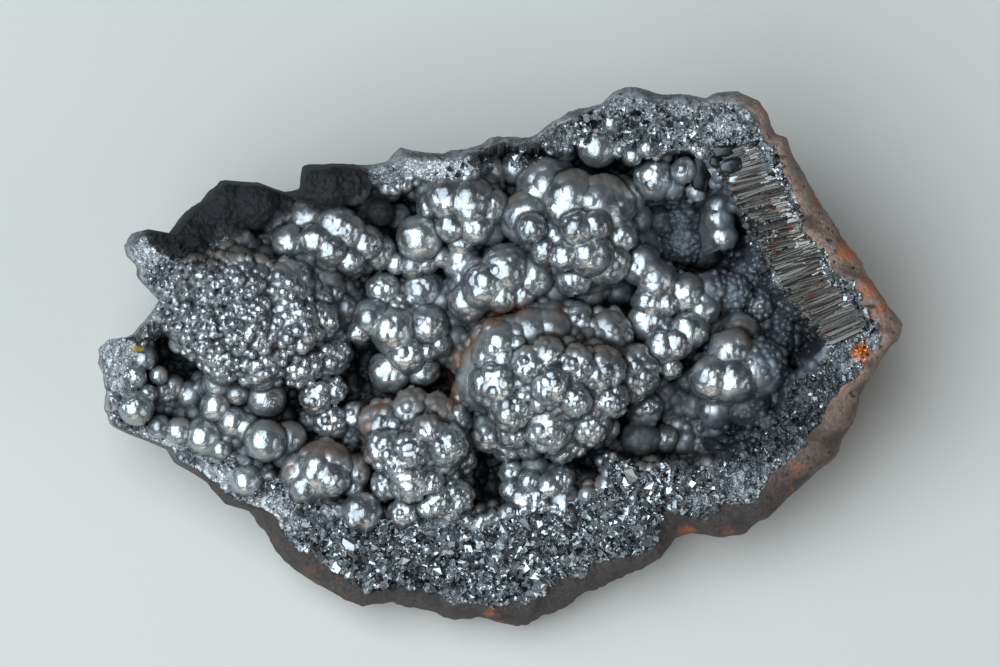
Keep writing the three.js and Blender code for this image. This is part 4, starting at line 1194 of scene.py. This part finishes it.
def weathered_rind():
    """Limonite rind, weathered in the ground: earthy matte brown, pitted, with orange iron stain."""
    colours = bpy.context.scene.specimen_colours
    material, tree, place = new_material("weathered_limonite_earthy")
    pit, rust, grey, light, ledge = (
        add(tree, "ShaderNodeAttribute", attribute_name=name).outputs["Fac"]
        for name in ("pit", "rust", "grey", "light", "ledge")
    )
    patches = add(
        tree, "ShaderNodeTexNoise",
        {"Vector": place, "Scale": per_metre(8), "Detail": 9.0, "Roughness": 0.7},
    ).outputs["Fac"]
    fine = add(
        tree, "ShaderNodeTexNoise",
        {"Vector": place, "Scale": per_metre(0.9), "Detail": 6.0, "Roughness": 0.8},
    ).outputs["Fac"]
    stain = add(
        tree, "ShaderNodeMapRange", {"Value": patches, "From Min": 0.58, "From Max": 0.72, "To Max": 0.4}
    ).outputs[0]
    ragged = add(tree, "ShaderNodeMapRange", {"Value": fine, "From Min": 0.35, "From Max": 0.6}).outputs[0]
    stain_here = add(tree, "ShaderNodeMath", {0: rust, 1: ragged}, operation="MULTIPLY").outputs[0]
    stain = add(tree, "ShaderNodeMath", {0: stain, 1: stain_here}, operation="MAXIMUM").outputs[0]
    spread = add(tree, "ShaderNodeMapRange", {"Value": fine, "From Min": 0.36, "From Max": 0.58}).outputs[0]
    colour = add(
        tree, "ShaderNodeMix",
        {FACTOR: spread, FIRST: tuple(colours.rind_dark), SECOND: tuple(colours.rind)}, data_type="RGBA",
    ).outputs[RESULT]
    sand = add(tree, "ShaderNodeTexVoronoi", {"Vector": place, "Scale": per_metre(0.7)})
    granular = add(
        tree, "ShaderNodeMix",
        {FACTOR: sand.outputs["Color"], FIRST: tuple(colours.sand_dark), SECOND: tuple(colours.sand)},
        data_type="RGBA",
    ).outputs[RESULT]
    spots = add(
        tree, "ShaderNodeTexNoise", {"Vector": place, "Scale": per_metre(1.7), "Detail": 2.0}
    ).outputs["Fac"]
    spots = add(
        tree, "ShaderNodeMapRange", {"Value": spots, "From Min": 0.64, "From Max": 0.68, "To Max": 0.85}
    ).outputs[0]
    # Painted light: lighter colour on the rind at the top and right, away from the key lamp.
    painted_lighter = add(tree, "ShaderNodeMapRange", {"Value": spread, "To Min": 0.45}).outputs[0]
    painted_lighter = add(tree, "ShaderNodeMath", {0: light, 1: painted_lighter}, operation="MULTIPLY").outputs[0]
    pitted = add(tree, "ShaderNodeMath", {0: pit, 1: 0.6}, operation="MULTIPLY").outputs[0]
    colour = add(
        tree, "ShaderNodeMix", {FACTOR: painted_lighter, FIRST: colour, SECOND: tuple(colours.rind_painted_light)},
        data_type="RGBA",
    ).outputs[RESULT]
    colour = add(
        tree, "ShaderNodeMix", {FACTOR: grey, FIRST: colour, SECOND: granular}, data_type="RGBA"
    ).outputs[RESULT]
    for layer, paint in (
        (pitted, colours.rind_dark), (spots, colours.rind_dark), (stain, colours.rust),
        (ledge, colours.ledge),
    ):
        colour = add(
            tree, "ShaderNodeMix", {FACTOR: layer, FIRST: colour, SECOND: tuple(paint)}, data_type="RGBA"
        ).outputs[RESULT]
    height = add(
        tree, "ShaderNodeMath", {0: sand.outputs["Distance"], 1: 0.5, 2: fine}, operation="MULTIPLY_ADD"
    ).outputs[0]
    roughness = add(tree, "ShaderNodeMapRange", {"Value": fine, "To Min": 0.55, "To Max": 0.9}).outputs[0]
    surface(tree, colour, roughness, 0, height, 0.9, 0.5)
    return material


def painted_floor():
    """A painted board: pale and almost even, with a faint mottle of the roller."""
    material, tree, place = new_material("painted_floor")
    mottle = add(tree, "ShaderNodeTexNoise", {"Vector": place, "Scale": per_metre(25)}).outputs["Fac"]
    roughness = add(tree, "ShaderNodeMapRange", {"Value": mottle, "To Min": 0.6, "To Max": 0.7}).outputs[0]
    shader = add(
        tree, "ShaderNodeBsdfPrincipled",
        {"Base Color": tuple(bpy.context.scene.specimen_colours.floor), "Roughness": roughness},
    )
    add(tree, "ShaderNodeOutputMaterial", {"Surface": shader.outputs[0]})
    return material


FACE = Face()


class SPECIMEN_OT_crust(bpy.types.Operator):
    """Make the hollow face: lumps, beads and the ground of the broken band, in upright strips"""

    bl_idname = "specimen.crust"
    bl_label = "Crust"

    def execute(self, context):
        materials = (lustrous_goethite(), broken_goethite(), fibrous_goethite())
        for number, (start, end) in enumerate(zip(STRIP_ENDS, STRIP_ENDS[1:]), 1):
            self.make_strip(f"crust_{number}", start, end, materials)
        return {"FINISHED"}

    def make_strip(self, name, start, end, materials):
        face = FACE
        i0, i1 = (int(np.argmin(np.abs(face.xs - x))) for x in (start, end))
        rows = np.flatnonzero(face.kept[:, i0 : i1 + 1].any(axis=1))
        j0, j1 = rows[0], rows[-1]
        piece, column, row = grid_primitive(name, i1 - i0, j1 - j0)
        # The grid's rows run up the sheet and the face's run down it.
        j, i = j1 - row, i0 + column
        move_points(piece, sheet_to_world(face.x[j, i], face.y[j, i], face.w[j, i]))
        for attribute in ("tone", "dust_and_shade", "hollow", "facet", "soot", "pale", "sandy", "ledge"):
            give(piece, attribute, getattr(face, attribute)[j, i])
        give(piece, "ground", np.where(face.fibrous, 2, face.band > 0.5)[j, i])
        give(piece, "rust", rust_at(face.x[j, i], face.y[j, i]))
        give(piece, "ochre", in_zone(face.x[j, i], face.y[j, i], OCHRE))
        select_points(piece, ~face.kept[j, i])
        in_edit_mode(
            (bpy.ops.mesh.delete, dict(type="VERT")),
            (bpy.ops.mesh.select_all, dict(action="SELECT")),
            (bpy.ops.mesh.delete_loose, {}),
        )
        before = len(piece.data.vertices)
        select_points(piece, np.zeros(before, bool))
        in_edit_mode(
            (bpy.ops.mesh.select_non_manifold, dict(use_wire=False, use_multi_face=False, use_verts=False)),
            (bpy.ops.mesh.extrude_edges_indiv, {}),
        )
        points = np.empty(3 * len(piece.data.vertices))
        piece.data.vertices.foreach_get("co", points)
        points = points.reshape(-1, 3)
        points[before:] = lower_to_core(points[before:])
        move_points(piece, points)
        select_points(piece, np.arange(len(points)) >= before)
        in_edit_mode(
            (bpy.ops.mesh.fill, dict(use_beauty=False)),
            (bpy.ops.mesh.select_all, dict(action="SELECT")),
            (bpy.ops.mesh.normals_make_consistent, dict(inside=False)),
        )
        ground = np.empty(len(piece.data.vertices))
        piece.data.attributes["ground"].data.foreach_get("value", ground)
        first = np.empty(len(piece.data.polygons), int)
        piece.data.polygons.foreach_get("loop_start", first)
        corners = np.empty(len(piece.data.loops), int)
        piece.data.loops.foreach_get("vertex_index", corners)
        finish_piece(piece, materials, 42)
        piece.data.polygons.foreach_set("material_index", ground[corners[first]].round().astype(np.int32))


def lower_to_core(points):
    """Points of the scene brought down the sheet to the level inside the rock, and drawn in."""
    across, up, _ = ((points / MM - np.array(FACE_PLACE)) @ sheet_axes().T).T
    x, y = across + SHEET_ORIGIN[0], SHEET_ORIGIN[1] - up
    x = RIM_MIDDLE[0] + CORE_SHARE * (x - RIM_MIDDLE[0])
    y = RIM_MIDDLE[1] + CORE_SHARE * (y - RIM_MIDDLE[1])
    lowered = sheet_to_world(x, y, np.full(len(x), CORE_LEVEL))
    lowered[:, 2] = np.maximum(lowered[:, 2], 2 * MM)
    return lowered


def primitive_shape(add_primitive, **settings):
    """The points and faces of a primitive, which is then removed."""
    deselect()
    add_primitive(**settings)
    shape = bpy.context.object
    points = np.array([vertex.co for vertex in shape.data.vertices])
    faces = [tuple(face.vertices) for face in shape.data.polygons]
    mesh = shape.data
    bpy.data.objects.remove(shape)
    bpy.data.meshes.remove(mesh)
    return points, faces


def joined_copies(name, shape, frames, places, tones, ragged):
    """One mesh of many copies of a shape, each with its own axes, place, tone and dents."""
    points, faces = shape
    jitter = np.random.default_rng(DENT_SEED).normal(0, ragged, (len(places), *points.shape))
    moved = np.einsum("nij,nkj->nki", frames, points + jitter) + places[:, None]
    mesh = bpy.data.meshes.new(name)
    starts = range(0, len(places) * len(points), len(points))
    shifted = [tuple(start + corner for corner in face) for start in starts for face in faces]
    mesh.from_pydata(moved.reshape(-1, 3), [], shifted)
    piece = bpy.data.objects.new(name, mesh)
    bpy.context.scene.collection.objects.link(piece)
    give(piece, "tone", np.repeat(tones, len(points)))
    return piece


def random_turns(random, count):
    """Random rotations as matrices."""
    quaternions = random.normal(size=(count, 4))
    quaternions /= np.linalg.norm(quaternions, axis=1, keepdims=True)
    a, b, c, d = quaternions.T
    return np.stack(
        (
            1 - 2 * (c * c + d * d), 2 * (b * c - a * d), 2 * (b * d + a * c),
            2 * (b * c + a * d), 1 - 2 * (b * b + d * d), 2 * (c * d - a * b),
            2 * (b * d - a * c), 2 * (c * d + a * b), 1 - 2 * (b * b + c * c),
        ),
        axis=-1,
    ).reshape(-1, 3, 3)


# How likely grains are anywhere on the broken band, and how much more so in the druse and along the top.
GRAINS_ANYWHERE, GRAINS_IN_DRUSE, GRAINS_AT_TOP = 0.15, 0.85, 0.25
TOP_BEARING = 110
# The dull ledges, by bearing, carry no grains.
DULL_BEARINGS = (118, 160)
# How uneven the copies of a shape are, as a share of its radius.
GRAIN_DENTS, CRYSTAL_DENTS, BLOCK_DENTS, FIBRE_DENTS = 0.2, 0.1, 0.03, 0.04
# How square the blocks at the head of the break are, and how far they lean.
BLOCK_POWER, BLOCK_LEAN = 0.6, 0.25


class SPECIMEN_OT_grains(bpy.types.Operator):
    """Scatter flat-faced grains over the broken band"""

    bl_idname = "specimen.grains"
    bl_label = "Broken grains"

    def execute(self, context):
        sizes = context.scene.specimen_sizes
        random = np.random.default_rng(GRAIN_SEED)
        face = FACE
        bearing = np.degrees(face.turn) % 360
        dull = (bearing > DULL_BEARINGS[0]) & (bearing < DULL_BEARINGS[1])
        druse = in_zone(face.x, face.y, DRUSE)
        outer = in_break(face.x, face.y)
        wanted = GRAINS_ANYWHERE + GRAINS_IN_DRUSE * druse + GRAINS_AT_TOP * (bearing < TOP_BEARING)
        chance = face.band**2 * (wanted + (outer > 0.92))
        clusters = smoothstep(rough(face.x, face.y, 4.5, 63), -0.3, 0.45)
        chance *= (0.25 + clusters) * (1 - 0.7 * face.pale * (outer < 0)) * (1 - 0.7 * face.soot)
        chance[dull | (face.inwards < 0.3) | ((outer >= 0) & (outer < 0.9))] = 0
        chance = chance.ravel()
        chosen = random.choice(chance.size, sizes.grain_count, p=chance / chance.sum())
        x = face.x.ravel()[chosen] + random.uniform(-0.5, 0.5, len(chosen)) * STEP
        y = face.y.ravel()[chosen] + random.uniform(-0.5, 0.5, len(chosen)) * STEP
        usual = sizes.grain_radius * (0.55 + 0.4 * druse.ravel()[chosen] + 0.6 * clusters.ravel()[chosen])
        radius = usual * random.lognormal(0, 0.5, len(chosen)).clip(0.35, 3)
        places = sheet_to_world(x, y, face.height_at(x, y))
        stretch = random.uniform(0.35, 1.1, (len(chosen), 3))
        frames = random_turns(random, len(chosen)) * (stretch * radius[:, None])[:, None, :]
        tones = random.uniform(0, 1, len(chosen)) ** 1.2
        shapes = (
            primitive_shape(bpy.ops.mesh.primitive_ico_sphere_add, subdivisions=1, radius=1),
            primitive_shape(bpy.ops.mesh.primitive_cube_add, size=1.5),
            primitive_shape(bpy.ops.mesh.primitive_cylinder_add, vertices=6, radius=1, depth=1),
        )
        material = crystal_grains()
        for number, shape in enumerate(shapes, 1):
            mine = np.arange(len(chosen)) % len(shapes) == number - 1
            name = f"broken_grains_{number}"
            piece = joined_copies(name, shape, frames[mine], places[mine], tones[mine], GRAIN_DENTS)
            finish_piece(piece, (material,))
        self.lay_plates(material)
        self.lay_blocks(material)
        return {"FINISHED"}

    def lay_plates(self, material):
        """The larger crystals, each turned so that its broad face looks out of the break."""
        random = np.random.default_rng(CRYSTAL_SEED)
        x, y, radius = np.array(PLATES).T
        right, up, out = np.eye(3) @ sheet_axes()
        facing = out + random.normal(PLATE_LEAN, 0.45, (len(x), 1)) * right
        facing += random.normal(0, 0.45, (len(x), 1)) * up
        facing /= np.linalg.norm(facing, axis=1, keepdims=True)
        side = np.cross(facing, random.normal(size=(len(x), 3)))
        side /= np.linalg.norm(side, axis=1, keepdims=True)
        across = np.cross(facing, side)
        wide = (0.7 * radius * MM)[:, None]
        frames = np.stack((side * wide, across * wide * 0.75, facing * wide * 0.8), axis=-1)
        places = sheet_to_world(x, y, FACE.height_at(x, y) + 0.1 * radius)
        shape = primitive_shape(bpy.ops.mesh.primitive_cone_add, vertices=5, radius1=1, radius2=0.8, depth=1)
        tones = random.uniform(0.1, 0.7, len(x))
        piece = joined_copies("large_crystals", shape, frames, places, tones, CRYSTAL_DENTS)
        finish_piece(piece, (material,))

    def lay_blocks(self, material):
        """The blocks at the head of the fibrous break, square to the sheet."""
        x, y, level, wide, tall, degrees, tones = np.array(BLOCKS).T
        right, up, out = np.eye(3) @ sheet_axes()
        turn = np.radians(degrees)[:, None]
        side = np.cos(turn) * right - np.sin(turn) * up
        across = np.sin(turn) * right + np.cos(turn) * up
        sizes = np.stack((wide, tall, np.minimum(wide, tall)), axis=-1) * MM
        tilted = out - BLOCK_LEAN * side
        frames = np.stack((side * sizes[:, :1], across * sizes[:, 1:2], tilted * sizes[:, 2:]), axis=-1)
        places = sheet_to_world(x, y, np.maximum(level, FACE.height_at(x, y)))
        points, faces = primitive_shape(bpy.ops.mesh.primitive_ico_sphere_add, subdivisions=3, radius=1)
        blocky = np.sign(points) * np.abs(points) ** BLOCK_POWER
        piece = joined_copies("break_blocks", (blocky, faces), frames, places, tones, BLOCK_DENTS)
        finish_piece(piece, (material,), 30)


def sheet_axes():
    """The scene's directions to the right on the sheet, up it and out of it, one row each."""
    lean = math.radians(FACE_LEAN)
    return np.array(
        ((1, 0, 0), (0, math.cos(lean), math.sin(lean)), (0, -math.sin(lean), math.cos(lean)))
    )


def along(line, shares):
    """Points part of the way along a line of straight stretches."""
    places = np.linspace(0, 1, len(line))
    return np.stack([np.interp(shares, places, [point[k] for point in line]) for k in (0, 1)], axis=-1)


class SPECIMEN_OT_fibres(bpy.types.Operator):
    """Lay the fibres of the break side by side, fanning from the hollow to the rind"""

    bl_idname = "specimen.fibres"
    bl_label = "Fibres"

    def execute(self, context):
        sizes = context.scene.specimen_sizes
        random = np.random.default_rng(FIBRE_SEED)
        count = sizes.fibre_count
        shares = (np.arange(count) + random.uniform(-1.2, 1.2, count)) / count
        inner = along(FIBRE_INNER, shares.clip(0, 1))
        outer = along(FIBRE_OUTER, (shares + random.normal(0, 0.012, count)).clip(0, 1))
        # Two in three are long and painted dark as shade, the rest are short ends along the outer edge
        # painted bright as glints.
        short = np.arange(count) % 3 == 0
        start = np.where(short, random.uniform(0.6, 0.9, count), random.uniform(-0.08, 0.2, count))[:, None]
        reach = np.where(short, random.uniform(0.1, 0.3, count), random.uniform(0.55, 1, count))
        end = (start[:, 0] + reach).clip(0, 1.05)[:, None]
        low, high = inner + (outer - inner) * start, inner + (outer - inner) * end
        sunk = random.uniform(0.1, 0.9, count)
        radius = sizes.fibre_radius * random.lognormal(0, 0.3, count)
        ends = []
        for place in (low, high):
            x, y = place.T
            ends.append(sheet_to_world(x, y, FACE.height_at(x, y) - sunk * radius / MM * 0.6))
        axis = ends[1] - ends[0]
        length = np.linalg.norm(axis, axis=1)
        axis /= length[:, None]
        side = np.cross(axis, random.normal(size=(count, 3)))
        side /= np.linalg.norm(side, axis=1, keepdims=True)
        across = np.cross(axis, side)
        frames = np.stack(
            (side * radius[:, None] * 1.25, across * radius[:, None], axis * length[:, None]), axis=-1
        )
        shape = primitive_shape(bpy.ops.mesh.primitive_cone_add, vertices=6, radius1=1, radius2=0.72, depth=1)
        tones = np.where(short, random.uniform(0.5, 1, count), random.uniform(0.1, 0.35, count))
        piece = joined_copies("break_fibres", shape, frames, (ends[0] + ends[1]) / 2, tones, FIBRE_DENTS)
        finish_piece(piece, (fibrous_goethite(),))
        return {"FINISHED"}


# The rind: how many spokes run round it, how many rings cover its shoulder, how far in its rings lie
# under the face's edge in mm, and how far below the face they are.
SPOKES = 760
SHOULDER_RINGS = 11
UNDER_FACE = (0.7, 1.6, 2.6)
BELOW_FACE = 1.6
# Wide dips and small pits: how strong, size in mm and seed. Then how much both wear off, and how far
# they may stand out.
DIPS = (1.3, 12, 91)
PITS = (1.3, 3.6, 101)
WEAR = (0.15, 0.9, 0.9)
MOST_OUTWARDS = 0.6
# The underside's middle lies this far below the widest line.
UNDERSIDE_DROP = 60
# The bearings over which the rind turns grey and granular, and over which it ends to be. Then the levels
# over which grey, velvet and rust come in, going up the sides.
GREY_BEARINGS = ((38, 55), (185, 205))
GREY_LEVELS = (-14, -8)
LEDGE_LEVELS = (-22, -15)
RUST_LEVELS = (-14, -5)


class SPECIMEN_OT_rind(bpy.types.Operator):
    """Make the weathered rind: underside, sides and the outer edge of the face"""

    bl_idname = "specimen.rind"
    bl_label = "Rind"

    def execute(self, context):
        relief = context.scene.specimen_sizes.rind_relief / MM
        turn = np.linspace(-math.pi, math.pi, SPOKES + 1)
        rind, _, crest, _, _ = rim_at(turn)
        reach = reach_at(turn)
        levels = []
        # From the underside up to the widest line.
        ring_drops = np.array([0] + [ring[0] for ring in SIDE_RINGS])
        ring_reaches = [reach] + [
            reach * size + uneven * unevenness(turn, drop * 3) for drop, size, uneven in SIDE_RINGS
        ]
        ring_reaches = np.array(ring_reaches)
        for drop in np.arange(SIDE_RINGS[-1][0], 0, -1.0):
            k = np.searchsorted(ring_drops, drop) - 1
            share = (drop - ring_drops[k]) / (ring_drops[k + 1] - ring_drops[k])
            level = ring_reaches[k] * (1 - share) + ring_reaches[k + 1] * share
            levels.append((level, crest - BELLY_DROP - drop, 1))
        # From the widest line over the shoulder to the crest.
        for share in np.linspace(0, 1, SHOULDER_RINGS):
            bulge = math.sin(share * math.pi / 2)
            away = reach - rind * (1 - math.cos(share * math.pi / 2))
            wave = rock_waves(*self.place(turn, away)) * share
            levels.append((away, crest + wave - BELLY_DROP * (1 - bulge), 1 - share))
        # Under the face's edge, and down the inside of the rock.
        for inwards in UNDER_FACE:
            x, y = self.place(turn, reach - rind - inwards)
            levels.append((reach - rind - inwards, FACE.height_at(x, y) - BELOW_FACE, 0))
        levels.append((reach - rind - 3, np.full_like(turn, CORE_LEVEL - 1), 0))
        rings = len(levels)
        piece, column, row = grid_primitive("rind", SPOKES, rings + 1)
        distance = np.array([np.zeros_like(turn)] + [level[0] for level in levels] + [np.zeros_like(turn)])
        underside = crest - BELLY_DROP - UNDERSIDE_DROP
        core = np.full_like(turn, CORE_LEVEL - 1)
        height = np.array([underside] + [level[1] for level in levels] + [core])
        uneven = np.array([0] + [level[2] for level in levels] + [0])
        turns = turn[column]
        away, w, worn = distance[row, column], height[row, column], uneven[row]
        x, y = self.place(turns, away)
        coarse = DIPS[0] * self.relief_at(turns, x, y, w, *DIPS[1:])
        pits = PITS[0] * self.relief_at(turns, x, y, w, *PITS[1:])
        depth = worn * relief * (WEAR[0] + WEAR[1] * coarse + WEAR[2] * pits)
        w = w - (row < rings - 3) * (worn > 0) * 0.5 * pits.clip(0)
        away = np.maximum(away - depth.clip(-MOST_OUTWARDS), 0)
        x, y = self.place(turns, away)
        points = sheet_to_world(x, y, np.maximum(w, ground_level(y)))
        points[:, 2] = points[:, 2].clip(0)
        move_points(piece, points)
        give(piece, "pit", smoothstep(pits, 0.1, 0.5))
        give(piece, "rust", rust_at(x, y) * smoothstep(w + 3 * pits + 9 * coarse, *RUST_LEVELS))
        bearing = np.degrees(turns) % 360
        # Painted light: how much lighter the rind is painted towards the top and right.
        give(piece, "light", smoothstep(np.cos(turns - PAINTED_LIGHT_BEARING), 0.1, 0.8))
        begins, ends = GREY_BEARINGS
        top = smoothstep(bearing, *begins) * (1 - smoothstep(bearing, *ends))
        ragged = w + 3 * rough(x, y, 6, 95)
        ledge = in_zone(x, y, LEDGES) * smoothstep(ragged, *LEDGE_LEVELS)
        give(piece, "grey", (1 - ledge) * top * smoothstep(ragged, *GREY_LEVELS))
        give(piece, "ledge", ledge)
        select_points(piece, np.ones(len(points), bool))
        in_edit_mode(
            (bpy.ops.mesh.remove_doubles, dict(threshold=0.001 * MM)),
            (bpy.ops.mesh.select_all, dict(action="SELECT")),
            (bpy.ops.mesh.normals_make_consistent, dict(inside=False)),
        )
        finish_piece(piece, (weathered_rind(),), 60)
        return {"FINISHED"}

    def relief_at(self, turn, x, y, w, size, seed):
        """Rough patches over the sides: along y and w at right and left, along x and w elsewhere."""
        sideways = np.cos(turn) ** 2
        below = smoothstep(-w, 40, 52)
        around = sideways * rough(y, w, size, seed) + (1 - sideways) * rough(x, w, size, seed + 5)
        return (1 - below) * around + below * rough(x, y, size, seed + 10)

    def place(self, turn, away):
        return RIM_MIDDLE[0] + away * np.cos(turn), RIM_MIDDLE[1] - away * np.sin(turn)


def unevenness(turn, depth):
    """The slow waves of the rock's sides, as in the solid."""
    return (
        0.5 * np.sin(3 * turn + 0.11 * depth + 0.7)
        + 0.3 * np.sin(7 * turn - 0.17 * depth + 2.1)
        + 0.2 * np.sin(17 * turn + 0.31 * depth)
    )


# The camera's distance, the width of its view and the point of the sheet in its middle, in metres and mm.
CAMERA_AWAY = 2.0
FRAME_WIDTH = 0.2
FRAME_MIDDLE = (100, 66.7)
SENSOR = 36
FLOOR_SIZE = 6
# Soft lamps: name, place round the specimen as right, up the sheet and out of it, how wide and how
# tall, power and colour.
LAMPS = (
    ("key", (-0.95, 0.1, 1.63), (2.2, 3.0), 96, (0.79, 0.91, 1.0)),
    ("fill", (1.45, -0.6, 1.15), (0.8, 1.4), 8, (0.9, 0.96, 1.0)),
    ("low", (-0.3, -1.7, 0.9), (1.4, 0.5), 5, (1.0, 0.9, 0.76)),
)
# The weak glow of the room.
GLOW, GLOW_STRENGTH = "#c4cede", 0.05


class SPECIMEN_OT_stage(bpy.types.Operator):
    """Set up the floor, the soft lamps and the camera square to the face"""

    bl_idname = "specimen.stage"
    bl_label = "Stage"

    def execute(self, context):
        deselect()
        bpy.ops.mesh.primitive_plane_add(size=FLOOR_SIZE)
        floor = context.object
        floor.name = "floor"
        floor.data.materials.append(painted_floor())
        lean = math.radians(FACE_LEAN)
        out = Vector((0, -math.sin(lean), math.cos(lean)))
        up = Vector((0, math.cos(lean), math.sin(lean)))
        target = Vector(sheet_to_world(*FRAME_MIDDLE, 0))
        bpy.ops.object.camera_add(location=target + CAMERA_AWAY * out, rotation=(lean, 0, 0))
        camera = context.object
        camera.data.sensor_width = SENSOR
        camera.data.lens = SENSOR * CAMERA_AWAY / FRAME_WIDTH
        camera.data.clip_end = 20
        context.scene.camera = camera
        for name, (right, above, away), size, power, colour in LAMPS:
            place = target + Vector((right, 0, 0)) + above * up + away * out
            away_from = (place - target).normalized()
            across = up.cross(away_from).normalized()
            aim = Matrix((across, away_from.cross(across), away_from)).transposed().to_euler()
            bpy.ops.object.light_add(type="AREA", location=place, rotation=aim)
            lamp = context.object
            lamp.name = name
            lamp.data.shape = "RECTANGLE"
            lamp.data.size, lamp.data.size_y = size
            lamp.data.energy = power
            lamp.data.color = colour
        world = bpy.data.worlds.new("studio")
        context.scene.world = world
        world.use_nodes = True
        background = world.node_tree.nodes["Background"]
        background.inputs["Color"].default_value = linear(GLOW)
        background.inputs["Strength"].default_value = GLOW_STRENGTH
        context.scene.view_settings.view_transform = "Standard"
        deselect()
        return {"FINISHED"}


class SPECIMEN_PT_panel(bpy.types.Panel):
    bl_idname = "SPECIMEN_PT_panel"
    bl_label = "Goethite specimen"
    bl_space_type = "VIEW_3D"
    bl_region_type = "UI"
    bl_category = "Goethite"

    def draw(self, context):
        for group in (context.scene.specimen_sizes, context.scene.specimen_colours):
            for name in group.bl_rna.properties.keys():
                if name not in {"rna_type", "name"}:
                    self.layout.prop(group, name)
        for operator in OPERATORS:
            self.layout.operator(operator.bl_idname)


OPERATORS = (
    SPECIMEN_OT_crust,
    SPECIMEN_OT_grains,
    SPECIMEN_OT_fibres,
    SPECIMEN_OT_rind,
    SPECIMEN_OT_stage,
)
CLASSES = (SpecimenSizes, SpecimenColours, *OPERATORS, SPECIMEN_PT_panel)


def register():
    for each in CLASSES:
        bpy.utils.register_class(each)
    bpy.types.Scene.specimen_sizes = bpy.props.PointerProperty(type=SpecimenSizes)
    bpy.types.Scene.specimen_colours = bpy.props.PointerProperty(type=SpecimenColours)


def unregister():
    del bpy.types.Scene.specimen_colours
    del bpy.types.Scene.specimen_sizes
    for each in reversed(CLASSES):
        bpy.utils.unregister_class(each)


def main():
    register()
    bpy.ops.specimen.crust()
    bpy.ops.specimen.grains()
    bpy.ops.specimen.fibres()
    bpy.ops.specimen.rind()
    bpy.ops.specimen.stage()


if __name__ == "__main__":
    main()
